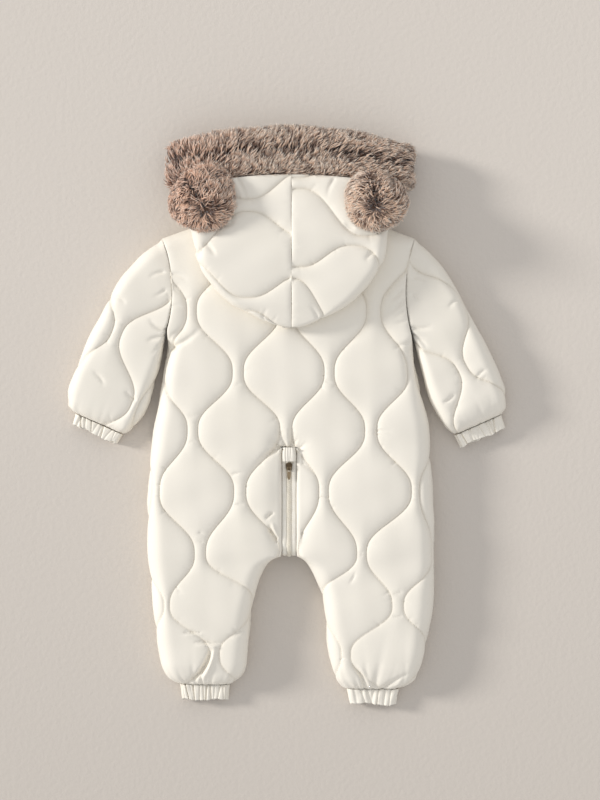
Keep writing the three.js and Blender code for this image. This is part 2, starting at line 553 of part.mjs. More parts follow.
function makeSleeve(side) {
  const table = SLEEVE[side];
  const sign = side === "left" ? -1 : 1;
  const column = Object.fromEntries(Object.keys(table[0]).map((k) => [k, track(table, k)]));
  const length = table[table.length - 1].at;
  const fromCuff = [14, 9, 5, 2, 0].map((back) => length - back);
  const steps = [0, 3, 9, ...evenSteps(9, length - 20, 17), ...fromCuff];
  const [upper, under] = [15, 6];
  const sections = steps.map((at) => {
    const [crown, split] = [column.crown(at), column.split(at)];
    const nearCuff = smooth(at, length - EASE.cuff, length);
    const edge = {
      radius: lerp(ROLL.sleeve, ROLL.sleeveEnd, nearCuff), base: split,
      underRadius: lerp(ROLL.under, ROLL.sleeveEndUnder, nearCuff), underBase: split,
    };
    const seamDip = ROLL.seam * (1 - Math.sin((Math.PI / 2) * Math.min(1, at / ROLL.seam)));
    const away = sign * ARMHOLE_GAP;
    return chordSection(column.ox(at) + away, column.oy(at), column.ix(at) + away, column.iy(at), sign, {
      crown: crown - seamDip, split, floor: 0, near: edge, far: edge,
      lift: (inward) => {
        const width = Math.hypot(column.ix(at) - column.ox(at), column.iy(at) - column.oy(at));
        const f = inward / width;
        return column.bow(at) * 4 * f * (1 - f);
      },
    });
  });
  const last = steps.length - 1;
  const spots = new Map();
  const spot = (r, c) => {
    const key = r * 1000 + c;
    if (spots.has(key)) return spots.get(key);
    const section = sections[r];
    let made;
    if (c > upper) {
      const [from, to] = clothRange(section, false);
      made = { point: lay(section, lerp(to, from, (c - upper) / under), { up: false }), stitched: false };
    } else {
      const [from, to] = clothRange(section, true);
      const free = r > 0 && r < last && c > 0 && c < upper;
      made = layQuilted(section, lerp(from, to, c / upper), FABRIC["sleeve_" + side], free);
    }
    spots.set(key, made);
    return made;
  };
  return tubeWall({
    sections, upper, under, columnStep: COARSE.columns, inset: INSET.rolled,
    coarseRows: everyToLast(COARSE.rows, last),
    outerPoint: (r, c) => spot(r, c).point,
    stitched: (r, c) => spot(r, c).stitched,
  });
}

// An elastic cuff: a short flat tube whose wall waves in and out in gathers
function makeCuff({ start, end, gathers }) {
  const perSide = 4 * gathers;
  const edge = { radius: CUFF.radius, base: CUFF.split, underRadius: CUFF.radius, underBase: CUFF.split };
  const sections = [0, 0.5, 1].map((t) => {
    const [ox, oy, ix, iy] = start.map((v, k) => lerp(v, end[k], t));
    return chordSection(ox, oy, ix, iy, 1, {
      crown: CUFF.crown - CUFF.fall * t, split: CUFF.split, floor: CUFF.floor, near: edge, far: edge,
    });
  });
  return tubeWall({
    sections, upper: perSide, under: perSide, coarseRows: [0, 2], columnStep: 4, inset: CUFF.wall,
    outerPoint: (r, c) => {
      const up = c <= perSide;
      const [from, to] = clothRange(sections[r], up);
      const f = up ? c / perSide : 2 - c / perSide;
      const wave = 0.5 - 0.5 * Math.cos((c * Math.PI) / 2);
      return lay(sections[r], lerp(from, to, f), { sink: CUFF.gather * wave, up });
    },
  });
}

const hood = Object.fromEntries(["left", "right", "floor", "crown"].map((k) => [k, track(HOOD, k)]));
const HOOD_ROWS = [
  296, 290, ...evenSteps(290, 150, 15), 142, 135, 129, 124, 120, 116.5, 113.5, 111.5, 110,
];

// The hood's section at a height: from the centre seam out over the top, round the fold, and back beneath
function hoodSection(side, y) {
  const [floor, crown] = [hood.floor(y), hood.crown(y)];
  const split = (floor + crown) / 2;
  const width = hood[side](y);
  const fold = Math.min((crown - floor) * HOOD_FOLD.ofDepth, width * HOOD_FOLD.ofWidth);
  const sign = side === "left" ? -1 : 1;
  const sag = smooth(y, HOOD_SAG.from, HOOD_SAG.to) * HOOD_SAG.depth;
  return {
    origin: { x: HOOD_SEAM_X + (sign * SEAM_GAP) / 2, y }, across: { x: sign, y: 0 }, along: { x: 0, y: 1 },
    width, crown, split, floor,
    near: { radius: HOOD_SEAM.radius, base: crown - HOOD_SEAM.deep, underRadius: 2, underBase: floor + 1 },
    far: { radius: fold, base: split, underRadius: fold, underBase: split },
    lift: (inward) => -sag * (inward / width) ** 2,
  };
}

function makeHood(side) {
  const sections = HOOD_ROWS.map((y) => hoodSection(side, y));
  const [upper, under] = [15, 6];
  const last = HOOD_ROWS.length - 1;
  const spots = new Map();
  const spot = (r, c) => {
    const key = r * 1000 + c;
    if (spots.has(key)) return spots.get(key);
    const section = sections[r];
    let made;
    if (c > upper) {
      const [from, to] = clothRange(section, false);
      made = { point: lay(section, lerp(to, from, (c - upper) / under), { up: false }), stitched: false };
    } else {
      const [from, to] = clothRange(section, true);
      const free = r > 0 && section.width > 30 && c > 0 && c < upper;
      made = layQuilted(section, lerp(from, to, c / upper), FABRIC["hood_" + side], free);
    }
    spots.set(key, made);
    return made;
  };
  return clothWall({
    coarseRows: everyToLast(COARSE.rows, last),
    coarseColumns: every(COARSE.columns, 0, upper + under),
    outer: (r, c) => spot(r, c).point,
    stitched: (r, c) => spot(r, c).stitched,
    inner: (r, c) => {
      const s = sections[r];
      const f = c <= upper ? c / upper : 1 - (c - upper) / under;
      const inward = f * (s.width - Math.min(INSET.rolled, 0.45 * s.width));
      const room = Math.min(AIR / 2, 0.15 * (s.crown - s.floor));
      const gap = room * Math.sqrt(1 - f * f);
      return [
        s.origin.x + s.across.x * inward,
        s.origin.y + s.lift(inward),
        s.split + (c <= upper ? gap : -gap),
      ];
    },
  });
}

// The fur band: a rounded slab swept round a flat loop, its edges following the mouth of the hood
function makeTrim() {
  const half = TRIM.thick / 2;
  const bend = (TRIM.high - TRIM.low) / 2;
  const centre = (TRIM.high + TRIM.low) / 2;
  const ends = [TRIM.left + half + bend, TRIM.right - half - bend];
  const path = [
    ...every(1, 0, 19).map((i) => ({ x: lerp(ends[0], ends[1], i / 19), z: TRIM.high, nx: 0, nz: 1 })),
    ...every(1, 1, 5).map((i) => ({ end: 1, turn: (Math.PI * i) / 6 })),
    ...every(1, 0, 13).map((i) => ({ x: lerp(ends[1], ends[0], i / 13), z: TRIM.low, nx: 0, nz: -1 })),
    ...every(1, 1, 5).map((i) => ({ end: 0, turn: (Math.PI * i) / 6 })),
  ].map((p) => {
    if (p.turn === undefined) return p;
    const nx = Math.sin(p.turn) * (p.end ? 1 : -1);
    const nz = Math.cos(p.turn) * (p.end ? 1 : -1);
    return { x: ends[p.end] + bend * nx, z: centre + bend * nz, nx, nz };
  });
  const corners = 12;
  const points = [];
  const faces = [];
  const squared = (v, power) => Math.sign(v) * Math.abs(v) ** power;
  path.forEach((p, i) => {
    const share = (Math.abs(p.x - TRIM.middle) / TRIM.reach) ** TRIM.fallPower;
    const top = TRIM.top - TRIM.topFall * share;
    const foot = TRIM.foot - TRIM.footFall * share;
    for (let k = 0; k < corners; k++) {
      const turn = (2 * Math.PI * k) / corners;
      const lump = TRIM.lump * (0.5 + 0.5 * Math.sin(2.1 * i + 1.7 * k)) * (p.nz < -0.5 ? 0 : 1);
      const along = (top + foot) / 2 + ((top - foot) / 2) * squared(Math.cos(turn), 0.6);
      const out = (half - lump) * squared(Math.sin(turn), 0.7);
      points.push([p.x + p.nx * out, along, p.z + p.nz * out]);
      const next = ((i + 1) % path.length) * corners;
      const [a, b] = [i * corners + k, i * corners + ((k + 1) % corners)];
      const [c, d] = [next + k, next + ((k + 1) % corners)];
      faces.push([a, b, d], [a, d, c]);
    }
  });
  return closedGeometry(points, faces);
}

// A fur ear: a plump rounded lobe with a nearly flat underside that follows the hood it lies on
function makeEar({ rx, ry, turn, x, y }) {
  const ball = new THREE.SphereGeometry(1, 20, 12).rotateX(Math.PI / 2);
  ball.deleteAttribute("normal");
  ball.deleteAttribute("uv");
  const geometry = mergeVertices(ball);
  const place = geometry.attributes.position;
  const [sin, cos] = [Math.sin(radians(turn)), Math.cos(radians(turn))];
  for (let i = 0; i < place.count; i++) {
    const [u, v, w] = [place.getX(i), place.getY(i), place.getZ(i)];
    const thick = EAR.thick * (EAR.rim + (w > 0 ? 1 - EAR.rim : EAR.rim) * w);
    const fold = 1 + EAR.fold * Math.sin(3 * Math.atan2(v, u));
    const [a, b] = [u * rx * fold, v * ry * fold];
    const [px, py] = [x + a * cos - b * sin, y + a * sin + b * cos];
    const beyond = Math.max(0, Math.abs(px - HOOD_SEAM_X) - EAR.droopFrom);
    const bed = Math.max(hood.crown(py), EAR.least) + EAR.rest - EAR.droop * beyond ** 2;
    place.setXYZ(i, px, py, bed + thick);
  }
  return geometry;
}

// A ribbon that follows the zip: up the seat, round the crotch and along the front to the neck
function zipRibbon(x0, x1, thick, lift) {
  const bend = (TAPE.level - TAPE.floor) / 2;
  const middle = (TAPE.level + TAPE.floor) / 2;
  const turnY = ZIP.crotch + bend + 1;
  const path = [
    { y: ZIP.top - 1, z: TAPE.level, ny: 0, nz: 1 },
    ...every(1, 0, 8).map((i) => {
      const [sin, cos] = [Math.sin((Math.PI * i) / 8), Math.cos((Math.PI * i) / 8)];
      return { y: turnY - bend * sin, z: middle + bend * cos, ny: -sin, nz: cos };
    }),
    { y: ZIP.front, z: TAPE.floor, ny: 0, nz: -1 },
  ];
  const points = [];
  const faces = [];
  path.forEach((p, i) => {
    const [low, high] = [lift - thick / 2, lift + thick / 2];
    for (const [x, out] of [[x0, low], [x1, low], [x1, high], [x0, high]])
      points.push([x, p.y + p.ny * out, p.z + p.nz * out]);
    if (i === path.length - 1) return;
    for (let k = 0; k < 4; k++) {
      const [a, b] = [4 * i + k, 4 * i + ((k + 1) % 4)];
      faces.push([a, b, b + 4], [a, b + 4, a + 4]);
    }
  });
  const end = 4 * (path.length - 1);
  faces.push([0, 2, 1], [0, 3, 2], [end, end + 1, end + 2], [end, end + 2, end + 3]);
  return closedGeometry(points, faces);
}

// Solid of a closed geometry, for joining
function solid(geometry) {
  const bare = geometry.index ? geometry.toNonIndexed() : geometry.clone();
  bare.deleteAttribute("normal");
  bare.deleteAttribute("uv");
  const merged = mergeVertices(bare, 1e-4);
  const vertProperties = merged.attributes.position.array;
  const triVerts = new Uint32Array(merged.index.array);
  return new wasm.Manifold(new wasm.Mesh({ numProp: 3, vertProperties, triVerts }));
}

function geometryOf(manifold) {
  const mesh = manifold.getMesh();
  const geometry = new THREE.BufferGeometry();
  geometry.setAttribute("position", new THREE.Float32BufferAttribute(mesh.vertProperties, 3));
  geometry.setIndex(Array.from(mesh.triVerts));
  return geometry;
}

// Slider: a plate over the chain with an arched bridge that carries the pull
const SLIDER = {
  y: -59, length: 9.5, width: 8, plate: 2, bridge: 7, bridgeWide: 1.6, bridgeHigh: 3.4, wire: 1,
};
const CHAIN_TOP = TAPE.level + CHAIN.thick / 2 + CHAIN.lift;
const PLATE_TOP = CHAIN_TOP + SEAM_GAP + SLIDER.plate;
const PULL = { width: 4.8, length: 15, thick: 1.2, eyeWide: 2.8, eyeLong: 5.4, bar: 1.1, fromBridge: 1.2 };
// The pull turns about its cross bar, which lies under the bridge near its lower foot
const HINGE = {
  y: SLIDER.y - SLIDER.bridge / 2 + SLIDER.wire + PULL.fromBridge,
  z: PLATE_TOP + SEAM_GAP + PULL.thick / 2 + 0.1,
};

function makeSlider() {
  const plan = new THREE.Shape();
  const [w, l] = [SLIDER.width / 2, SLIDER.length / 2];
  plan.moveTo(-w * 0.72, -l);
  plan.lineTo(w * 0.72, -l);
  plan.quadraticCurveTo(w, -l * 0.2, w, l * 0.55);
  plan.quadraticCurveTo(w * 0.6, l, 0, l);
  plan.quadraticCurveTo(-w * 0.6, l, -w, l * 0.55);
  plan.quadraticCurveTo(-w, -l * 0.2, -w * 0.72, -l);
  const plate = new THREE.ExtrudeGeometry(plan, { depth: SLIDER.plate, bevelEnabled: false, curveSegments: 5 });
  plate.translate(ZIP.x, SLIDER.y, PLATE_TOP - SLIDER.plate);
  // The bridge is drawn in the plane along the zip, x of the shape being the way up the picture
  const [b, h, t] = [SLIDER.bridge / 2, SLIDER.bridgeHigh, SLIDER.wire];
  const [sunk, chamfer] = [-0.5, 0.4];
  const outside = [[b, sunk], [b, h * 0.7], [b - 1, h]];
  const inside = [[b - t - chamfer, h - t], [b - t, h - t - chamfer], [b - t, sunk]];
  const mirrored = (run) => run.map(([x, y]) => [-x, y]).reverse();
  const corners = [...outside, ...mirrored(outside), ...mirrored(inside), ...inside];
  const arch = new THREE.Shape(corners.map(([x, y]) => new THREE.Vector2(x, y)));
  const bridge = new THREE.ExtrudeGeometry(arch, { depth: SLIDER.bridgeWide, bevelEnabled: false });
  bridge.rotateX(Math.PI / 2).rotateZ(Math.PI / 2);
  bridge.translate(ZIP.x - SLIDER.bridgeWide / 2, SLIDER.y, PLATE_TOP);
  return geometryOf(solid(plate).add(solid(bridge)));
}

function makePull() {
  const [w, e] = [PULL.width / 2, PULL.eyeWide / 2];
  const outline = new THREE.Shape();
  outline.moveTo(-w * 0.8, PULL.bar / 2);
  outline.lineTo(w * 0.8, PULL.bar / 2);
  outline.lineTo(w, -PULL.length * 0.5);
  outline.quadraticCurveTo(w, -PULL.length, 0, -PULL.length);
  outline.quadraticCurveTo(-w, -PULL.length, -w, -PULL.length * 0.5);
  outline.lineTo(-w * 0.8, PULL.bar / 2);
  const eye = new THREE.Path([
    [-e, -PULL.bar / 2], [-e, -PULL.eyeLong], [e, -PULL.eyeLong], [e, -PULL.bar / 2],
  ].map(([x, y]) => new THREE.Vector2(x, y)));
  outline.holes.push(eye);
  const cut = { depth: PULL.thick, bevelEnabled: false, curveSegments: 6 };
  const plate = new THREE.ExtrudeGeometry(outline, cut);
  plate.translate(ZIP.x, HINGE.y, HINGE.z - PULL.thick / 2);
  return geometryOf(solid(plate));
}

// The guard: a small folded patch that covers the end of the zip above the slider. Each row is a height up the
// picture, how much the patch narrows there, and its crown over the chain.
const GUARD = {
  rows: [
    { y: ZIP.top - 0.5, narrow: 1.2, crown: 3.4 }, { y: -41, narrow: 0.2, crown: 4.4 },
    { y: -47, narrow: 0, crown: 4.6 }, { y: -53.2, narrow: 0.4, crown: 3.6 },
  ],
  room: 0.6, radius: 3, rim: 1.2, fold: 0.7, columns: 12,
};

function makeGuard() {
  const floor = CHAIN_TOP + SEAM_GAP;
  const edge = { radius: GUARD.radius, base: floor + GUARD.rim, underRadius: 1, underBase: floor + 1 };
  const sections = GUARD.rows.map(({ y, narrow, crown }) => {
    const half = ZIP.opening / 2 - GUARD.room - narrow;
    return {
      origin: { x: ZIP.x - half, y }, across: { x: 1, y: 0 }, along: { x: 0, y: 1 }, width: 2 * half,
      crown: CHAIN_TOP + crown, split: CHAIN_TOP + 1, floor, near: edge, far: edge,
    };
  });
  return clothWall({
    coarseRows: [0, GUARD.rows.length - 1],
    coarseColumns: every(4, 0, GUARD.columns),
    outer: (r, c) => {
      const [from, to] = clothRange(sections[r], true);
      const folded = c > 0 && c < GUARD.columns && c % 2;
      return lay(sections[r], lerp(from, to, c / GUARD.columns), { sink: folded ? GUARD.fold : 0 });
    },
    inner: (r, c) => {
      const s = sections[r];
      return [s.origin.x + lerp(GUARD.room, s.width - GUARD.room, c / GUARD.columns), s.origin.y, s.floor];
    },
  });
}

const materials = {
  shell: new THREE.MeshStandardMaterial({ color: COLOUR.shell, roughness: 0.72, metalness: 0 }),
  fur: new THREE.MeshStandardMaterial({ color: COLOUR.fur, roughness: 0.95, metalness: 0 }),
  tape: new THREE.MeshStandardMaterial({ color: COLOUR.tape, roughness: 0.8, metalness: 0 }),
  metal: new THREE.MeshStandardMaterial({ color: COLOUR.metal, roughness: 0.35, metalness: 0.9 }),
};

const snowsuit = new THREE.Group();
function addPiece(name, geometry, material) {
  const mesh = new THREE.Mesh(geometry, materials[material]);
  mesh.name = name;
  snowsuit.add(mesh);
}

addPiece("back", makeBack(), "shell");
for (const side of ["left", "right"]) {
  addPiece("front_" + side, makeFront(side), "shell");
  addPiece("sleeve_" + side, makeSleeve(side), "shell");
  addPiece("hood_" + side, makeHood(side), "shell");
}
for (const [name, cuff] of Object.entries(CUFFS)) addPiece(name, makeCuff(cuff), "shell");
addPiece("hood_trim", makeTrim(), "fur");
for (const [name, ear] of Object.entries(EARS)) addPiece(name, makeEar(ear), "fur");

const chainHalf = CHAIN.width / 2;
const tapeStart = chainHalf + SEAM_GAP;
addPiece("zip_tape_left", zipRibbon(ZIP.x - tapeStart - TAPE.width, ZIP.x - tapeStart, TAPE.thick, 0), "tape");
addPiece("zip_tape_right", zipRibbon(ZIP.x + tapeStart, ZIP.x + tapeStart + TAPE.width, TAPE.thick, 0), "tape");
addPiece("zip_chain", zipRibbon(ZIP.x - chainHalf, ZIP.x + chainHalf, CHAIN.thick, CHAIN.lift), "tape");
addPiece("zip_slider", makeSlider(), "metal");
addPiece("zip_pull", makePull(), "metal");
addPiece("zip_guard", makeGuard(), "shell");

// The frame's origin is the centre of the floor under the whole garment
const extent = new THREE.Box3().setFromObject(snowsuit);
snowsuit.position.set(-(extent.min.x + extent.max.x) / 2, -(extent.min.y + extent.max.y) / 2, -extent.min.z);

export default snowsuit;
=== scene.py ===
import math

import bmesh
import bpy
import numpy as np
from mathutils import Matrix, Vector
from mathutils.bvhtree import BVHTree
from mathutils.geometry import barycentric_transform, delaunay_2d_cdt
from mathutils.kdtree import KDTree


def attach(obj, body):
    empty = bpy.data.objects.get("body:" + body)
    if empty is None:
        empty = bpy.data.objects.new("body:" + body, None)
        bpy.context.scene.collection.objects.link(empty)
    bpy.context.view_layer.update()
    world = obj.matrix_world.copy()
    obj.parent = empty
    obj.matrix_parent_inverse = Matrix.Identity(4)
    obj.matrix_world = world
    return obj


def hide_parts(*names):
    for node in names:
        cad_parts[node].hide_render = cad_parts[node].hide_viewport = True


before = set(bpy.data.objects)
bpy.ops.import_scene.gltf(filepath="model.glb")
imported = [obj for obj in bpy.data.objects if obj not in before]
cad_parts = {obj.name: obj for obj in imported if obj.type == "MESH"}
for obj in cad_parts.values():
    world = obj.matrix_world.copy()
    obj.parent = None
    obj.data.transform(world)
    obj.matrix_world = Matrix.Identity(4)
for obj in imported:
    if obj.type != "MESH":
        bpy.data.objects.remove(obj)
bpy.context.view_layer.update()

MM = 0.001

# Cloth, as in the solids
SEAM_GAP = 0.3
ROLL = {"top": 21, "under": 14, "zip": 6}
SEAM = {"roll": 8, "deep": 2.5, "gap": 0.15}
HOOD_SEAM = {"roll": 7, "deep": 2.6}
ZIP = {"x": 3.5, "opening": 17.6, "top": -35.4, "crotch": -169.6, "front": 203}
TAPE = {"width": 5.1, "thick": 1.5, "level": 33, "floor": 2.2}
CHAIN = {"width": 6, "thick": 2.6}
HEM = {"left": -327.5, "right": -333}
SHOULDER = 220
NECK = {"half": 52, "point": 257, "back": 249, "front": 206, "roll": 16}
UNDERARM = {"left": 108.6, "right": 102.5}
DOME = 3
DIMPLE = {"depth": 2.2, "reach": 11}
VALLEY = {"depth": 4.3, "reach": 15}  # how far the cloth beside the zip lies under the crown
SHELL = 1.3  # thickness of the two fabrics and the wadding pressed at their edges
WALL = 1.1

# Spacing of the points that make a quilted side: along the edges, along the stitch lines and beside them, in
# creased places and over the plain wadding
EDGE_STEP = 2.2
LINE_STEP = 1.5
BESIDE = (1.3, 3.0)
FINE = 1.9
COARSE = 4.0
UNDER_COARSE = 6.0

# The tables' creases are those of one fabric layer.
# The wadding under it makes them this much deeper and sharper.
CREASE = {"gain": 1.9, "narrow": 0.78}

# Quilting: a narrow crease at the thread inside a wide soft hollow
GROOVE = [{"depth": 1.6, "spread": 1.5}, {"depth": 3.6, "spread": 10}]
FLATTER = {"from": -120, "to": -260, "share": 0.55}  # the quilting lies flatter down the legs
WAVE = {"spacing": 54.2, "swing": 21, "half": 73.2}
FABRIC = {
    "sleeve_left": {"x": -156.9, "y": 84.1, "heading": 68.8},
    "sleeve_right": {"x": 167.1, "y": 35, "heading": 118.6},
}
# Back panel: where each wavy stitch line turns, row by row down the panel, left to right across it
BACK_TURNS = [
    {"at": 206, "l4": -172, "l3": -158, "l2": -63, "l1": -49, "r1": 46, "r2": 59, "r3": 153, "r4": 168},
    {"at": 130.5, "l4": -213, "l3": -121.6, "l2": -109.8, "l1": -8.5,
     "r1": 7.3, "r2": 98, "r3": 115.5, "r4": 207},
    {"at": 55.5, "l4": -172, "l3": -158, "l2": -65.9, "l1": -52.5,
     "r1": 46, "r2": 58.3, "r3": 150.1, "r4": 168},
    {"at": -15.3, "l4": -208, "l3": -121, "l2": -108, "l1": -7.9,
     "r1": 6.7, "r2": 95.6, "r3": 110.4, "r4": 205},
    {"at": -89.7, "l4": -171, "l3": -156, "l2": -64.1, "l1": -49.4,
     "r1": 39.7, "r2": 51.2, "r3": 152.5, "r4": 163.5},
    {"at": -165.9, "l4": -205, "l3": -112.2, "l2": -98.5, "l1": -8,
     "r1": 14, "r2": 85.8, "r3": 97.6, "r4": 188},
    {"at": -229.4, "l4": -150, "l3": -142.5, "l2": -33, "l1": -20,
     "r1": 18, "r2": 29, "r3": 129, "r4": 143.1},
    {"at": -289.1, "l4": -196, "l3": -94, "l2": -82, "l1": -10, "r1": 10, "r2": 66.2, "r3": 78.5, "r4": 185},
    {"at": -352, "l4": -150, "l3": -138, "l2": -40, "l1": -20, "r1": 20, "r2": 28, "r3": 122, "r4": 136},
]
# Hood: the turns of each line, from left to right over each panel
HOOD_TURNS = {
    "hood_left": [
        [(-194, 318), (-120.8, 352), (-47.6, 362), (25.6, 318)],
        [(-194, 250), (-120.8, 307), (-47.6, 265.5), (25.6, 301)],
        [(-194, 262), (-120.8, 200), (-47.6, 250.1), (25.6, 218)],
        [(-194, 130), (-120.8, 186), (-47.6, 145.7), (25.6, 173.8)],
        [(-194, 140), (-120.8, 80), (-47.6, 130), (25.6, 90)],
    ],
    "hood_right": [
        [(-56, 318), (14.6, 292), (85.4, 340), (160, 300)],
        [(-56, 222), (17, 278.2), (96, 220.3), (170, 268)],
        [(-56, 214), (15, 182.5), (80, 208.6), (160, 160)],
        [(-56, 110), (6, 168.8), (72, 105), (150, 150)],
        [(-56, 100), (14, 70), (85, 90), (160, 50)],
    ],
}

# Outline of torso and legs, as in the solids
SIDE = {
    "left": [
        (108.6, -145.2), (83, -147.6), (59.8, -152), (19.5, -157.4), (-11, -162.5), (-64.7, -169.6),
        (-114.7, -172), (-164.7, -170.8), (-202.5, -167.1), (-246.4, -162.3), (-284.3, -157.4),
        (-308.7, -151.9), (-319, -146.5), (-325, -138.5), (-327.5, -132),
    ],
    "right": [
        (102.5, 152.5), (83, 156.2), (46.4, 164.2), (18.3, 170.2), (-11, 175.7), (-40.3, 178.1),
        (-102.5, 180.6), (-152.5, 183), (-202.5, 181.8), (-239, 179.3), (-272, 173.2), (-301.3, 167.1),
        (-320.9, 159.6), (-330, 148.6), (-333, 140),
    ],
}
INSEAM = {
    "left": [
        (-169.6, -5.3), (-172.5, -12.5), (-177, -19), (-186.7, -26.2), (-209.8, -35), (-234.2, -41.5),
        (-264.7, -45.1), (-294, -47.6), (-311.7, -51.2), (-321, -58), (-325.5, -64), (-327.5, -68.5),
    ],
    "right": [
        (-169.6, 12.3), (-172.8, 17.5), (-177.5, 22), (-195.2, 33.6), (-214.7, 41.5), (-241.6, 46.4),
        (-276.9, 49.7), (-298.9, 53.7), (-319.6, 59.6), (-328, 66), (-331.5, 70), (-333, 73),
    ],
}
CROWN = [
    (220, 34), (150, 37), (0, 38), (-90, 39), (-160, 38), (-230, 37), (-300, 34), (-314, 31), (-323, 26),
    (-327.5, 20),
]
LAYER_SPLIT = [(220, 17), (-300, 17), (-314, 14), (-323, 11.5), (-327.5, 10)]

# Sleeves: outer and inner edge of each section from the armhole to the cuff
SLEEVE_COLUMNS = ("at", "ox", "oy", "ix", "iy", "bow", "crown", "split")
SLEEVE = {
    "left": [
        (0, -152.5, 220, -145.2, 108.6, 9.5, 35, 17), (19, -169.6, 207.4, -150, 90, 6, 35, 17),
        (38, -186.7, 191.5, -152.5, 74.4, 3, 35, 16.5), (64, -211.1, 161, -155.5, 59.8, 1, 35, 16),
        (93, -231.2, 122, -158.5, 46.4, 0, 35, 16), (122, -249.5, 85.4, -163.5, 29.3, 0, 35, 16),
        (150, -263.5, 53.7, -171.4, 9.8, 0, 35, 15), (173, -271, 29.3, -181.8, -8, 0, 33, 13.5),
        (184, -270.5, 16.6, -190.3, -16.6, 0, 29, 12), (190, -265.5, 9.4, -196.8, -19.3, 0, 23, 10),
        (193, -260.4, 6.3, -201, -19.8, 0, 17, 8),
    ],
    "right": [
        (0, 157.4, 220, 152.5, 102.5, 9, 35, 17), (19, 175.1, 204.6, 158.6, 84.5, 5, 35, 17),
        (42, 196.2, 179.3, 163.5, 67, 2, 35, 16.5), (62, 211.8, 156.2, 167.5, 51.2, 1, 35, 16),
        (83, 225.2, 130.5, 171, 36.6, 0, 35, 16), (104, 238.4, 104.9, 175.3, 22, 0, 35, 16),
        (130, 252.4, 76.3, 182.3, 6.1, 0, 35, 15), (154, 264, 51.2, 191.7, -10.2, 0, 34, 14),
        (171, 271.2, 29.3, 198.4, -17.2, 0, 30, 12), (182, 271.2, 14.5, 203.2, -20.4, 0, 24, 10),
        (187, 265.3, 4.9, 206.3, -21.4, 0, 17, 8),
    ],
}
CUFFS = {
    "cuff_left": {"start": (-260, 5.3, -201.4, -20.8), "end": (-263, -7.8, -208.6, -32.4), "folds": 12},
    "cuff_right": {"start": (264.9, 3.9, 206.6, -22.2), "end": (269.6, -12.6, 214.2, -36.4), "folds": 12},
    "ankle_left": {"start": (-131, -328, -69.5, -328), "end": (-128.3, -346.5, -71.5, -347), "folds": 14},
    "ankle_right": {"start": (74, -333.6, 139, -333.6), "end": (78, -351, 135, -353.6), "folds": 9},
}
CUFF = {"crown": 15, "split": 7.8, "floor": 0.4, "radius": 7}

HOOD_SEAM_X = 6.5
HOOD_COLUMNS = ("at", "left", "right", "floor", "crown")
HOOD = [
    (296, 136, 139, 8, 47), (280, 137, 139, 12, 51), (262, 131, 132, 23.5, 57), (247, 126.5, 124.5, 36.2, 61),
    (223, 121, 117.5, 38.6, 65), (190, 115.8, 112.5, 39.3, 66.5), (165, 100.4, 96.5, 40.2, 66),
    (140, 76.5, 72, 40.9, 63.5), (125.7, 50.4, 49.5, 41, 60.5), (114.5, 26, 25, 41.2, 56.5),
    (110, 11, 10.5, 42, 53),
]
HOOD_SAG = 16
TRIM = {
    "left": -148.5, "right": 156.5, "middle": 4, "thick": 22, "low": 11.2, "high": 36.8, "top": 353.8,
    "topFall": 24, "foot": 297, "footFall": 15,
}
EARS = {
    "ear_left": {
        "x": -101, "y": 266, "rx": 40.5, "ry": 38, "turn": 35, "parting": ((-0.5, 0.6), (0.12, -0.3)),
    },
    "ear_right": {
        "x": 109, "y": 263, "rx": 37.5, "ry": 35, "turn": -30, "parting": ((-0.16, 0.8), (0.02, -0.16)),
    },
}
EAR = {"thick": 26, "rest": -1.2, "least": 48.5, "droop": 0.0035}

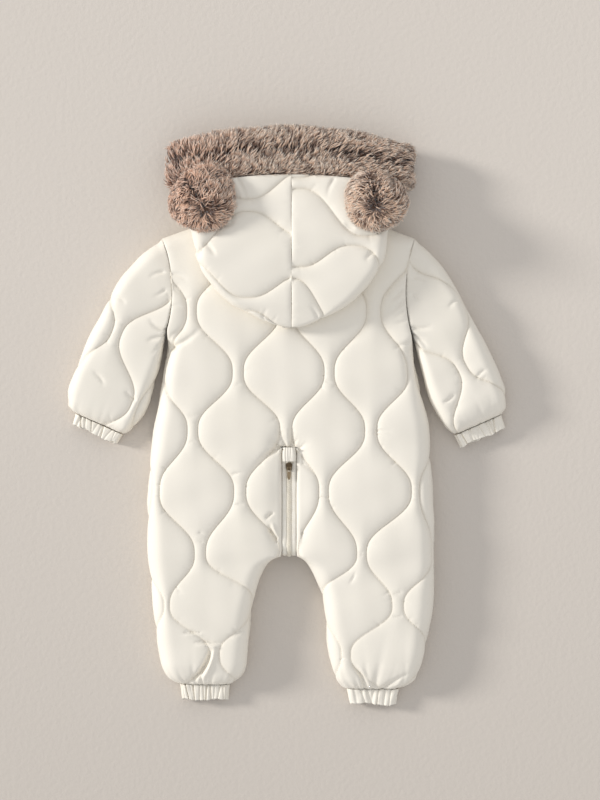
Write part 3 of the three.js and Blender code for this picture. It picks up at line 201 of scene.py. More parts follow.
# Creases, listed one by one: start, end, how far the middle bows to the left of the way, depth (a ridge where
# negative), half width, and grip: 1 where a seam holds the start, 0 where both ends fade out
CREASES = {
    "back": [
        (0, -36, -8.5, -13, 1.5, 1.8, 1.9, 1), (5, -35, 8, -12, -1, 1.6, 1.8, 1),
        (-3, -38, -18, -25, 2, 2, 2.1, 1),
        (12, -39, 25, -27, -2, 1.5, 1.9, 1), (2.5, -36, 0, -10, 0, -0.9, 2.2, 1),
        (9, -38, 17, -22, -1, -0.8, 2, 1),
        (-6, -37, -40, -62, -4, 2.6, 3.4, 1), (13, -53, 34, -70, 3, 1.6, 2.8, 1),
        (39, -97.6, 54, -97, 0.5, 1, 1.5, 0), (-68, -70, -54, -67.5, 1, 1.1, 1.7, 0),
        (-63, -104, -50, -105.5, -1, 0.9, 1.5, 0), (109, -16, 130, -18, 1.5, 1.1, 1.8, 1),
        (110, -20, 124, -27, 1, 0.9, 1.6, 1), (-25, -124, -15, -115, 1, 1.7, 2.2, 0),
        (-21, -129, -9.5, -153, -2, 1.9, 2.8, 0), (-17, -127, -6, -149, -2, -1.2, 2.6, 0),
        (-144, 85, -104, 111, -4, 2.6, 4, 1), (-143, 97, -122, 109, 2, 1.2, 2.6, 1),
        (142, 157, 124, 143, 2, 1.5, 2.6, 1), (143, 144, 127, 128, 1, 1.7, 2.4, 1),
        (144, 131, 131, 122, 0, 1.1, 2, 1), (145, 118, 128, 116, 1, 1, 2.2, 1),
        (-140, 176, -121, 168, 2, 1.3, 2.6, 1), (-139, 160, -124, 150, -1, 1, 2.2, 1),
        (-139, 138, -126, 134, 1, 1.1, 2, 1), (150, 90, 132, 84, -2, 1.4, 3, 1),
        (-126, -261.5, -102, -262, 0.5, 1.2, 1.5, 0), (-125, -265.5, -101, -266, 0, -0.9, 1.8, 0),
        (-113, -273, -77, -276, 0.5, 1.5, 1.7, 0), (-110, -278, -79, -280, 0, -1.2, 2, 0),
        (-72, -267, -42, -256, -2, 1, 2, 0), (-64, -262, -50, -262, 0, 0.8, 1.8, 0),
        (-91, -282, -122, -326, 5, 3.4, 3.2, 0), (-88, -279, -106, -324, 4, -1.8, 3, 0),
        (-104, -328, -98, -300, 2, 2.4, 2.4, 1), (-74, -328, -66, -311, -2, 1.4, 2.6, 1),
        (96, -333, 79, -300, -4, 3.6, 3, 1), (101, -333, 86, -303, -4, -1.4, 2.8, 1),
        (118, -332, 152, -312, 2, 2.4, 2.8, 1), (124, -333, 158, -320, 1, -1, 2.4, 1),
        (137, -333, 160, -326, -1, 1.6, 2, 1), (130, -215, 142, -213, 0, 0.8, 1.5, 0),
        (130, -243, 142, -242, 0, 0.8, 1.5, 0), (91, -172, 93, -160, 0, 0.7, 1.6, 0),
        (-108, -140, -101, -141, 0, 0.8, 1.5, 0), (-109, -150, -100, -151.5, 0, 0.9, 1.4, 0),
        (-120, 4, -110, 2, 0, 0.8, 1.5, 0), (-119, -30, -110, -28, 0, 0.7, 1.5, 0),
        (84, -186, 76, -203, 2, 0.7, 2, 0), (-63, 40, -55, 42, 0, 0.7, 1.6, 0),
        (47, 44, 57, 42, 0, 0.8, 1.5, 0),
    ],
    "sleeve_left": [
        (-146, 106, -168, 122, 3, 2.2, 3.4, 1), (-148, 98, -170, 92, -3, 2, 3.2, 1),
        (-149, 90, -163, 76, -2, 1.4, 2.6, 1),
        (-150, 178, -168, 170, -2, 1.2, 2.8, 1), (-148, 156, -163, 148, 1, 1, 2.4, 1),
        (-236, 56, -222, 40, 2, 1, 2.4, 0),
        (-180, 20, -196, 33, 2, 1.2, 2.8, 0), (-214, 150, -196, 140, 2, 0.9, 2.8, 0),
    ],
    "sleeve_right": [
        (154, 100, 172, 84, 3, 2.4, 3, 1), (155, 110, 178, 112, -2, 1.7, 3, 1),
        (158, 88, 170, 70, 1, 1.5, 2.6, 1),
        (156, 172, 174, 164, 2, 1.2, 2.6, 1), (155, 150, 169, 140, -1, 1, 2.4, 1),
        (246, 60, 231, 46, -2, 1, 2.4, 0),
        (190, 18, 206, 30, -2, 1.2, 2.6, 0), (214, 146, 198, 134, -2, 0.9, 2.6, 0),
    ],
    "hood_left": [
        (-60, 290, -48, 262, 2, 1.2, 3, 1), (-78, 232, -62, 240, -2, 1.2, 3.4, 0),
        (-30, 118, -22, 134, 1, 1, 2.6, 1),
        (-100, 212, -86, 196, 2, 1.2, 3.6, 0),
    ],
    "hood_right": [
        (58, 290, 50, 266, -2, 1.2, 3, 1), (84, 230, 72, 236, 2, 1.2, 3.2, 0),
        (38, 122, 28, 138, -1, 1, 2.6, 1),
        (108, 200, 96, 190, -2, 1, 3.4, 0),
    ],
}


def smooth_step(value, low, high):
    t = np.clip((value - low) / (high - low), 0, 1)
    return t * t * (3 - 2 * t)


def smoother_step(t):
    return t**3 * (10 - 15 * t + 6 * t * t)


def lerp(a, b, t):
    return a + (b - a) * t


def steps(start, end, size):
    """Evenly spaced values from start to end, about size apart."""
    return np.linspace(start, end, max(2, int(round(abs(end - start) / size)) + 1))


def joined(*runs):
    """Runs that share their end values, as one run."""
    return np.concatenate([runs[0]] + [run[1:] for run in runs[1:]])


def track(rows, column=1):
    """A smooth curve through one column of a table, with no overshoot."""
    rows = sorted(rows)
    at = np.array([row[0] for row in rows], float)
    value = np.array([row[column] for row in rows], float)
    rise = np.diff(value) / np.diff(at)
    slope = np.concatenate([rise[:1], np.zeros(len(at) - 2), rise[-1:]])
    both = rise[:-1] * rise[1:] > 0
    total = np.where(both, rise[:-1] + rise[1:], 1)
    slope[1:-1] = np.where(both, 2 * rise[:-1] * rise[1:] / total, 0)

    def curve(t):
        t = np.clip(t, at[0], at[-1])
        i = np.clip(np.searchsorted(at, t, side="right") - 1, 0, len(at) - 2)
        span = at[i + 1] - at[i]
        u = (t - at[i]) / span
        ends = value[i] * (1 + 2 * u) * (1 - u) ** 2 + value[i + 1] * u * u * (3 - 2 * u)
        return ends + span * (slope[i] * u * (1 - u) ** 2 - slope[i + 1] * u * u * (1 - u))

    return curve


# Stitch lines

def waving(turns, spacing=0.5):
    """A wavy line through its turning points (along, across), level at each of them."""
    turns = np.array(turns, float)
    along = np.arange(turns[0, 0], turns[-1, 0], spacing)
    i = np.clip(np.searchsorted(turns[:, 0], along, side="right") - 1, 0, len(turns) - 2)
    t = (along - turns[i, 0]) / (turns[i + 1, 0] - turns[i, 0])
    across = lerp(turns[i, 1], turns[i + 1, 1], smoother_step(t))
    return np.stack([along, across], -1)


def back_lines():
    rows = sorted(BACK_TURNS, key=lambda row: row["at"])
    names = [name for name in rows[0] if name != "at"]
    return [waving([(row["at"], row[name]) for row in rows])[:, ::-1] for name in names]


def sleeve_lines(fabric):
    heading = math.radians(fabric["heading"])
    along = np.array([math.cos(heading), math.sin(heading)])
    across = np.array([math.sin(heading), -math.cos(heading)])
    lines = []
    for k in range(-4, 4):
        side = 1 if k % 2 == 0 else -1
        turns = [
            (i * WAVE["half"], (k + 0.5) * WAVE["spacing"] + side * WAVE["swing"] * (1 if i % 2 == 0 else -1))
            for i in range(-4, 5)
        ]
        line = waving(turns)
        lines.append(np.array([fabric["x"], fabric["y"]]) + line[:, :1] * along + line[:, 1:] * across)
    return lines


class Lines:
    """Stitch lines of one panel, for finding how far off they are."""

    def __init__(self, lines):
        self.lines = lines
        self.tree = near_tree(np.concatenate(lines))

    def distance(self, plane):
        return distances(self.tree, plane)

    def beside(self, offset):
        """Points on the lines, or a set distance to both sides of them."""
        stride = int(LINE_STEP * 2)
        rows = []
        for line in self.lines:
            way = np.gradient(line, axis=0)
            side = np.stack([-way[:, 1], way[:, 0]], -1) / np.linalg.norm(way, axis=-1, keepdims=True)
            rows += [(line + sign * offset * side)[::stride] for sign in ((1, -1) if offset else (0,))]
        points = np.concatenate(rows)
        return points[self.distance(points) > 0.9 * offset - 0.01]


def near_tree(points):
    tree = KDTree(len(points))
    for i, (x, y) in enumerate(points.tolist()):
        tree.insert((x, y, 0), i)
    tree.balance()
    return tree


def distances(tree, plane):
    return np.array([tree.find((x, y, 0))[2] for x, y in plane.tolist()])


# Laying cloth over a section: the same mapping as the solids use, for whole grids at once

def roll_length(radius, rise):
    return math.pi / 2 * np.sqrt((radius**2 + rise**2) / 2)


def edge_of(section, name, up):
    """Radius, base, rise, cloth length and firmness of hold of one rolled edge, on one side."""
    level = section["crown"] if up else section["floor"]
    radius, base = section[name]["up" if up else "under"]
    rise = np.abs(level - base)
    hold = section[name].get("hold", (0,))[0]
    return radius, base, rise, roll_length(radius, rise), hold


def roll(section, c, sink, up):
    """How far in from the section's start a point lies, its level, and its share of the roll."""
    sign = 1 if up else -1
    level = section["crown"] if up else section["floor"]
    inward = c + 0 * level
    height = level - sign * sink + 0 * c
    share = np.ones_like(inward)
    edges = [edge_of(section, "near", up), edge_of(section, "far", up)]
    ends = [c + edges[0][3] - edges[0][0], section["width"] - c + edges[1][3] - edges[1][0]]
    scale = [np.maximum(edge[3], 1e-6) for edge in edges]
    nearer = ends[0] / scale[0] < ends[1] / scale[1]
    for k, (radius, base, rise, length, hold) in enumerate(edges):
        on = (nearer if k == 0 else ~nearer) & (radius > 0) & (ends[k] < length)
        turn = math.pi / 2 * np.maximum(ends[k], 0) / scale[k]
        dent = np.minimum(sink, radius)
        place = radius - (radius - dent * (1 - hold)) * np.cos(turn)
        inward = np.where(on, place if k == 0 else section["width"] - place, inward)
        height = np.where(on, base + sign * (rise - dent) * np.sin(turn), height)
        share = np.where(on, np.sin(turn), share)
    return inward, height, share


def cloth_range(section, up):
    spare = [edge_of(section, name, up) for name in ("near", "far")]
    return -(spare[0][3] - spare[0][0]), section["width"] + spare[1][3] - spare[1][0]


def lay(section, c, sink=0.0, shift=0.0, up=True):
    inward, height, share = roll(section, c, sink + 0 * c, up)
    lift = section["lift"](inward) + shift
    dome = section["dome"](inward) * share if up and "dome" in section else 0
    seam = section["split"] + (SEAM_GAP / 2 if up else -SEAM_GAP / 2)
    x = section["x"] + section["ax"] * inward + section["gx"] * lift
    y = section["y"] + section["ay"] * inward + section["gy"] * lift
    z = seam + (height + dome - seam) * section.get("end", 1)
    return np.stack(np.broadcast_arrays(x, y, z), -1)


def plan(section, c):
    """Where a point of the cloth lies on the flat panel before its edges roll over."""
    lift = section["lift"](np.clip(c, 0, section["width"]))
    x = section["x"] + section["ax"] * c + section["gx"] * lift
    y = section["y"] + section["ay"] * c + section["gy"] * lift
    return np.stack(np.broadcast_arrays(x, y), -1)


def crease_depth(plane, rows):
    depth = np.zeros(plane.shape[:-1])
    t = np.linspace(0, 1, 41)
    for x0, y0, x1, y1, bow, deep, width, grip in rows:
        way = np.array([x1 - x0, y1 - y0])
        side = np.array([-way[1], way[0]]) / np.hypot(*way)
        path = np.array([x0, y0]) + t[:, None] * way + (4 * t * (1 - t) * bow)[:, None] * side
        low, high = path.min(0) - 3 * width, path.max(0) + 3 * width
        near = np.all((plane > low) & (plane < high), axis=-1)
        if not near.any():
            continue
        gap = np.linalg.norm(plane[near][:, None, :] - path[None], axis=-1)
        best = gap.argmin(1)
        along = t[best]
        fade = np.where(
            grip, (1 - along) ** 0.8 * smooth_step(along, -0.1, 0.06), np.sin(math.pi * along) ** 0.7
        )
        depth[near] += (
            CREASE["gain"] * deep * np.exp(-((gap.min(1) / (CREASE["narrow"] * width)) ** 2)) * fade
        )
    return depth


def undulation(plane, seed, size=0.12):
    """Slow unevenness of the wadding."""
    rng = np.random.default_rng(seed)
    depth = np.zeros(plane.shape[:-1])
    for wavelength in np.geomspace(34, 130, 14):
        heading, start = rng.uniform(0, 2 * math.pi, 2)
        way = (plane[..., 0] * math.cos(heading) + plane[..., 1] * math.sin(heading)) / wavelength
        depth += size * np.sin(2 * math.pi * way + start)
    return depth


def neck_creases(lines, seed, share=0.5):
    """Small cross puckers along the stitch lines, as uneven as sewing leaves them."""
    rng = np.random.default_rng(seed)
    rows = []
    for line in lines:
        at = rng.uniform(0, 14)
        while at * 2 < len(line) - 3:
            i = int(at * 2)
            at += rng.uniform(7, 19)
            if rng.uniform() > share:
                continue
            way = line[i + 2] - line[i]
            side = np.array([-way[1], way[0]]) / np.hypot(*way) * rng.choice([-1, 1])
            lean = way / np.hypot(*way) * rng.uniform(-0.4, 0.4)
            end = line[i] + (side + lean) * rng.uniform(5, 13)
            bow = rng.uniform(-0.8, 0.8)
            rows.append((*line[i], *end, bow, rng.uniform(0.25, 0.75), rng.uniform(1.1, 1.9), 1))
    return rows


def seam_puckers(path, reach, seed, side=1, pitch=9, depth=0.7):
    """Puckers that leave a sewn edge at right angles."""
    rng = np.random.default_rng(seed)
    path = np.array(path, float)
    rows = []
    for a, b in zip(path[:-1], path[1:]):
        way = b - a
        length = np.hypot(*way)
        out = side * np.array([-way[1], way[0]]) / length
        for k in range(int(length / pitch)):
            start = a + way * (k + rng.uniform(0.1, 0.9)) * pitch / length
            end = start + (out + way / length * rng.uniform(-0.5, 0.5)) * reach * rng.uniform(0.5, 1.3)
            bow = rng.uniform(-0.7, 0.7)
            rows.append((*start, *end, bow, depth * rng.uniform(0.3, 1.2), rng.uniform(1.2, 2.2), 1))
    return rows


def gathers(f, away, count, seed, depth=2.2, reach=18):
    """Folds that an elastic edge makes: uneven valleys across, fading with the distance from that edge."""
    rng = np.random.default_rng(seed)
    sink = np.zeros(np.broadcast(f, away).shape)
    for k in range(count):
        place = (k + 0.5 + rng.uniform(-0.35, 0.35)) / count
        wide = rng.uniform(0.16, 0.34) / count
        fade = np.exp(-np.maximum(away, 0) / (reach * rng.uniform(0.3, 1.2)))
        drift = rng.uniform(-0.25, 0.25) / count * away / 20
        sink += depth * rng.uniform(0.4, 1.2) * fade * np.exp(-(((f - place - drift) / wide) ** 2))
    return sink


class Panel:
    """One side of a quilted piece, its points known by their row and the cloth length c along it."""

    def __init__(self, section_at, rows, up=True, coarse=COARSE):
        self.section_at, self.rows, self.up, self.coarse = section_at, np.asarray(rows, float), up, coarse

    def plan(self, row, c):
        return plan(self.section_at(row), c[:, None])[:, 0]

    def ends(self, row):
        low, high = cloth_range(self.section_at(row), self.up)
        return low[:, 0], high[:, 0]

    def locate(self, targets, margin):
        """Rows and cloth lengths of the plan points that lie inside the panel."""
        first, last = min(self.rows), max(self.rows)
        rows = np.linspace(self.rows[0], self.rows[-1], 70)
        low, high = self.ends(rows)
        f = np.linspace(0, 1, 36)
        row, c = np.repeat(rows, len(f)), lerp(low[:, None], high[:, None], f[None]).ravel()
        tree = near_tree(self.plan(row, c))
        index = [tree.find((x, y, 0))[1] for x, y in targets.tolist()]
        row, c = np.clip(row[index], first + 0.1, last - 0.1), c[index]
        small = 0.05
        for _ in range(4):
            here = self.plan(row, c)
            by_row = (self.plan(row + small, c) - here) / small
            by_c = (self.plan(row, c + small) - here) / small
            miss = targets - here
            size = by_row[:, 0] * by_c[:, 1] - by_row[:, 1] * by_c[:, 0]
            row = row + (miss[:, 0] * by_c[:, 1] - miss[:, 1] * by_c[:, 0]) / size
            c = c + (by_row[:, 0] * miss[:, 1] - by_row[:, 1] * miss[:, 0]) / size
            row = np.clip(row, first + 0.1, last - 0.1)
        low, high = self.ends(row)
        hit = np.abs(self.plan(row, c) - targets).max(-1) < 0.05
        inside = hit & (c > low + margin) & (c < high - margin)
        return row[inside], c[inside]

    def stops(self, row):
        low, high = self.ends(np.array([row]))
        return row_stops(low[0], high[0], EDGE_STEP)

    def outline(self, ends):
        """The edge: down the low side, along the last row, up the high side and back along the first row."""
        low, high = self.ends(self.rows)
        turns = [(np.full(len(ends[k]), self.rows[k]), ends[k]) for k in (0, -1)]
        (top_row, top_c), (end_row, end_c) = turns
        row = np.concatenate([self.rows, end_row[1:-1], self.rows[::-1], top_row[1:-1]])
        c = np.concatenate([low, end_c[1:-1], high[::-1], top_c[-2:0:-1]])
        return row, c

    def fill(self, lines, rough, ends, extra_rows):
        """Scattered points: the edge, the stitch lines and rows beside them, and a honeycomb in between."""
        row, c = self.outline(ends)
        count = len(row)
        edge = self.plan(row, c)
        edge_tree = near_tree(edge)
        parts = [(row, c)]
        for extra in extra_rows:
            stops = self.stops(extra)[1:-1]
            parts.append((np.full(len(stops), extra), stops))
        taken = (
            self.plan(*(np.concatenate([part[k] for part in parts[1:]]) for k in (0, 1)))
            if extra_rows
            else edge
        )
        taken_tree = near_tree(taken)

        def spaced(row, c, room):
            here = self.plan(row, c)
            keep = (distances(edge_tree, here) > room) & (distances(taken_tree, here) > room)
            return row[keep], c[keep]

        on_line = spaced(*self.locate(lines.beside(0), 0.7), 0.7)
        parts.append(on_line)
        for offset in BESIDE:
            parts.append(spaced(*self.locate(lines.beside(offset), 0.7), 0.8))
        for size, wanted in ((FINE, True), (self.coarse, False)):
            comb = honeycomb(edge.min(0), edge.max(0), size)
            comb = comb[(lines.distance(comb) > BESIDE[-1] + 0.5 * size) & (rough(comb) == wanted)]
            parts.append(spaced(*self.locate(comb, 0.5 * size), 0.6 * size))
        row, c = (np.concatenate([part[k] for part in parts]) for k in (0, 1))
        on = np.zeros(len(row), bool)
        start = sum(len(part[0]) for part in parts[:len(extra_rows) + 1])
        on[start : start + len(on_line[0])] = True
        return row, c, on, count

    def surface(
        self, lines, creases=(), pleats=None, seed=0, rough=None, ends=(None, None), extra_rows=(), held=None
    ):
        """The panel's mesh: points, triangles, plan, distance to the stitching, and its two long edges."""
        creases = list(creases)
        ends = [self.stops(self.rows[k]) if ends[k] is None else ends[k] for k in (0, -1)]

        def creased(plane):
            near = np.abs(crease_depth(plane, creases)) > 0.12
            return near | rough(plane) if rough else near

        row, c, on, count = self.fill(lines, creased, ends, extra_rows)
        section = self.section_at(row)
        plane = plan(section, c[:, None])
        ring = [(i, (i + 1) % count) for i in range(count)]
        found = delaunay_2d_cdt([Vector(p) for p in plane[:, 0].tolist()], ring, [], 1, 1e-6)
        faces = np.array([[found[3][i][0] for i in face] for face in found[2]])
        u, v = (plane[faces[:, k], 0] - plane[faces[:, 0], 0] for k in (1, 2))
        turned = (u[:, 0] * v[:, 1] - u[:, 1] * v[:, 0] < 0) == self.up
        faces = np.where(turned[:, None], faces[:, ::-1], faces)
        distance = np.where(on, 0, lines.distance(plane[:, 0]))[:, None]
        low, high = cloth_range(section, self.up)
        relief = lerp(FLATTER["share"], 1, smooth_step(plane[..., 1], FLATTER["to"], FLATTER["from"]))
        sink = relief * sum(g["depth"] * np.exp(-distance / g["spread"]) for g in GROOVE)
        sink = sink + crease_depth(plane, creases) + undulation(plane, seed)
        if pleats:
            sink = sink + pleats((c[:, None] - low) / (high - low), row[:, None], plane)
        if held:
            sink = sink * held(row[:, None])
        if not self.up:
            sink = np.maximum(sink, 0)
        points = lay(section, c[:, None], sink, 0.0, self.up)[:, 0]
        rows = len(self.rows)
        second = rows + len(ends[-1]) - 2
        edges = np.arange(rows), np.arange(second, second + rows)[::-1]
        return {
            "points": points, "faces": faces, "plane": plane[:, 0], "distance": distance[:, 0], "edges": edges
        }


def row_stops(low, high, size, marks=()):
    """Places along a row, about size apart, with one at each mark."""
    stops = np.linspace(low, high, max(3, int(round((high - low) / size)) + 1))
    for mark in marks:
        if low + size < mark < high - size:
            stops[1 + np.abs(stops[1:-1] - mark).argmin()] = mark
    return stops


def honeycomb(low, high, size):
    rise = size * math.sqrt(3) / 2
    y = np.arange(low[1], high[1], rise)
    x = np.arange(low[0], high[0], size)
    shift = np.arange(len(y)) % 2 * size / 2
    return np.stack(np.broadcast_arrays(x[None] + shift[:, None], y[:, None]), -1).reshape(-1, 2)


def together(*sides):
    """Several sides as one mesh."""
    start = np.cumsum([0] + [len(side["points"]) for side in sides])
    whole = {key: np.concatenate([side[key] for side in sides]) for key in ("points", "plane", "distance")}
    whole["faces"] = np.concatenate([side["faces"] + start[k] for k, side in enumerate(sides)])
    return whole


# Meshes

def make_mesh(name, points, faces, material, attributes=None):
    mesh = bpy.data.meshes.new(name)
    mesh.from_pydata((np.asarray(points) * MM).tolist(), [], np.asarray(faces).tolist())
    for key, values in (attributes or {}).items():
        mesh.attributes.new(key, "FLOAT", "POINT").data.foreach_set(
            "value", np.asarray(values, np.float32).ravel()
        )
    mesh.shade_smooth()
    mesh.materials.append(material)
    piece = bpy.data.objects.new(name, mesh)
    bpy.context.scene.collection.objects.link(piece)
    return piece


def grid_faces(points, on, keep=None, ring=False, core=None):
    """Triangles of a grid of points. A stitch line that crosses a cell becomes its diagonal. They face away
    from the point core."""
    rows, columns = points.shape[:2]
    index = np.arange(rows * columns).reshape(rows, columns)
    if ring:
        index = np.concatenate([index, index[:, :1]], 1)
        on = np.concatenate([on, on[:, :1]], 1)
    p, q, s, t = index[:-1, :-1], index[1:, :-1], index[1:, 1:], index[:-1, 1:]
    flat = points.reshape(-1, 3)
    across = np.linalg.norm(flat[q] - flat[t], axis=-1) < np.linalg.norm(flat[p] - flat[s], axis=-1)
    across = np.where(on[:-1, :-1] & on[1:, 1:], False, across)
    across = np.where(on[1:, :-1] & on[:-1, 1:], True, across)
    first = np.where(across[..., None], np.stack([p, q, t], -1), np.stack([p, q, s], -1))
    second = np.where(across[..., None], np.stack([q, s, t], -1), np.stack([p, s, t], -1))
    if keep is not None:
        first, second = first[keep], second[keep]
    faces = np.concatenate([first.reshape(-1, 3), second.reshape(-1, 3)])
    a, b, c = (flat[faces[:, k]] - core for k in range(3))
    if (a * np.cross(b, c)).sum() < 0:
        faces = faces[:, ::-1]
    return faces


def solidify(piece, thickness):
    shell = piece.modifiers.new("wall", "SOLIDIFY")
    shell.thickness = thickness * MM
    shell.offset = -1
    return piece


threads = []  # the quilted sides that show, each with its stitch lines


def cloth_piece(node, side, material, wall=SHELL, weld=False):
    """A quilted side, or both, as a thin closed shell that stands for its solid."""
    # This attribute fades over about 2 mm from the stitch lines; the shell material paints shade with it.
    piece = make_mesh(
        node + "_cloth", side["points"], side["faces"], material, {"painted_groove_shade": np.exp(-side["distance"] / 2)}
    )
    if weld:
        form = bmesh.new()
        form.from_mesh(piece.data)
        bmesh.ops.remove_doubles(form, verts=form.verts, dist=0.01 * MM)
        form.to_mesh(piece.data)
        form.free()
    solidify(piece, wall)
    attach(piece, "root")
    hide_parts(node)
    return piece


def socket(node, name, value):
    node.inputs[name].default_value = value


def new_material(name, colour, roughness, **constants):
    material = bpy.data.materials.new(name)
    material.use_nodes = True
    shader = material.node_tree.nodes["Principled BSDF"]
    socket(shader, "Base Color", (*colour, 1))
    socket(shader, "Roughness", roughness)
    for key, value in constants.items():
        socket(shader, key.replace("_", " "), value)
    return material, material.node_tree, shader


def linear(red, green, blue):
    """A colour given as the eye names it, 0 to 255, for the shader."""
    return tuple(
        (v / 255) / 12.92 if v <= 10 else ((v / 255 + 0.055) / 1.055) ** 2.4 for v in (red, green, blue)
    )


def mixed(tree, low, high, factor):
    node = tree.nodes.new("ShaderNodeMix")
    node.data_type = "RGBA"
    node.inputs["A"].default_value = (*low, 1)
    node.inputs["B"].default_value = (*high, 1)
    tree.links.new(factor, node.inputs["Factor"])
    return node.outputs["Result"]


def noise(tree, coordinates, scale, detail=2.0):
    node = tree.nodes.new("ShaderNodeTexNoise")
    node.inputs["Scale"].default_value = scale
    node.inputs["Detail"].default_value = detail
    tree.links.new(coordinates, node.inputs["Vector"])
    return node.outputs["Fac"]


def weave(tree, coordinates, pitch):
    """Fine plain weave: threads across and along, pitch millimetres apart."""
    heights = []
    for direction in ("X", "Y"):
        node = tree.nodes.new("ShaderNodeTexWave")
        node.bands_direction = direction
        node.inputs["Scale"].default_value = math.pi / (10 * pitch * MM)
        node.inputs["Distortion"].default_value = 0.6
        node.inputs["Detail"].default_value = 1
        tree.links.new(coordinates, node.inputs["Vector"])
        heights.append(node.outputs["Fac"])
    both = tree.nodes.new("ShaderNodeMath")
    both.operation = "MAXIMUM"
    tree.links.new(heights[0], both.inputs[0])
    tree.links.new(heights[1], both.inputs[1])
    return both.outputs[0]


def bumped(tree, shader, layers):
    """Bump layers (height, strength, distance in millimetres), one on another."""
    normal = None
    for height, strength, distance in layers:
        node = tree.nodes.new("ShaderNodeBump")
        node.inputs["Strength"].default_value = strength
        node.inputs["Distance"].default_value = distance * MM
        tree.links.new(height, node.inputs["Height"])
        if normal:
            tree.links.new(normal, node.inputs["Normal"])
        normal = node.outputs["Normal"]
    tree.links.new(normal, shader.inputs["Normal"])


def attribute(tree, name):
    node = tree.nodes.new("ShaderNodeAttribute")
    node.attribute_name = name
    return node.outputs["Fac"]


def coordinates_of(tree):
    return tree.nodes.new("ShaderNodeTexCoord").outputs["Object"]


def shell_material():
    material, tree, shader = new_material(
        "matte_shell", linear(243, 237, 225), 0.56, Sheen_Weight=0.12, Sheen_Roughness=0.5,
        Specular_IOR_Level=0.38
    )
    where = coordinates_of(tree)
    cloudy = mixed(tree, linear(240, 234, 221), linear(246, 240, 229), noise(tree, where, 14))
    # Painted shade: beside each quilting line the cloth turns tan, for the shade down in its groove and
    # partly for the thread's tone.
    node = tree.nodes.new("ShaderNodeMix")
    node.data_type = "RGBA"
    node.inputs["B"].default_value = (*linear(214, 202, 182), 1)
    tree.links.new(cloudy, node.inputs["A"])
    painted_groove_shade = tree.nodes.new("ShaderNodeMath")
    painted_groove_shade.operation = "MULTIPLY"
    painted_groove_shade.inputs[1].default_value = 0.22
    tree.links.new(attribute(tree, "painted_groove_shade"), painted_groove_shade.inputs[0])
    tree.links.new(painted_groove_shade.outputs[0], node.inputs["Factor"])
    tree.links.new(node.outputs["Result"], shader.inputs["Base Color"])
    bumped(tree, shader, [(noise(tree, where, 260, 3), 0.25, 0.25), (weave(tree, where, 0.45), 0.35, 0.05)])
    return material


def thread_material():
    material, tree, shader = new_material("sewing_thread", linear(233, 225, 208), 0.5, Sheen_Weight=0.2)
    where = coordinates_of(tree)
    colour = mixed(tree, linear(226, 216, 198), linear(240, 233, 218), noise(tree, where, 900))
    tree.links.new(colour, shader.inputs["Base Color"])
    bumped(tree, shader, [(noise(tree, where, 2500), 0.4, 0.08)])
    return material


def tape_material():
    material, tree, shader = new_material("zip_weave", linear(248, 243, 231), 0.7, Sheen_Weight=0.2)
    where = coordinates_of(tree)
    colour = mixed(tree, linear(242, 235, 219), linear(254, 250, 241), noise(tree, where, 180))
    tree.links.new(colour, shader.inputs["Base Color"])
    bumped(tree, shader, [(weave(tree, where, 0.7), 0.8, 0.15)])
    return material


def coil_material():
    material, tree, shader = new_material("nylon_coil", linear(246, 240, 226), 0.38)
    where = coordinates_of(tree)
    colour = mixed(tree, linear(238, 230, 212), linear(252, 247, 235), noise(tree, where, 400))
    tree.links.new(colour, shader.inputs["Base Color"])
    bumped(tree, shader, [(noise(tree, where, 900), 0.2, 0.05)])
    return material


def metal_material(name, dark, pale):
    material, tree, shader = new_material(name, pale, 0.3, Metallic=1.0)
    where = coordinates_of(tree)
    grain = noise(tree, where, 700)
    colour = mixed(tree, dark, pale, noise(tree, where, 160))
    tree.links.new(colour, shader.inputs["Base Color"])
    rough = tree.nodes.new("ShaderNodeMapRange")
    rough.inputs["To Min"].default_value = 0.22
    rough.inputs["To Max"].default_value = 0.45
    tree.links.new(grain, rough.inputs["Value"])
    tree.links.new(rough.outputs["Result"], shader.inputs["Roughness"])
    bumped(tree, shader, [(grain, 0.2, 0.05)])
    return material


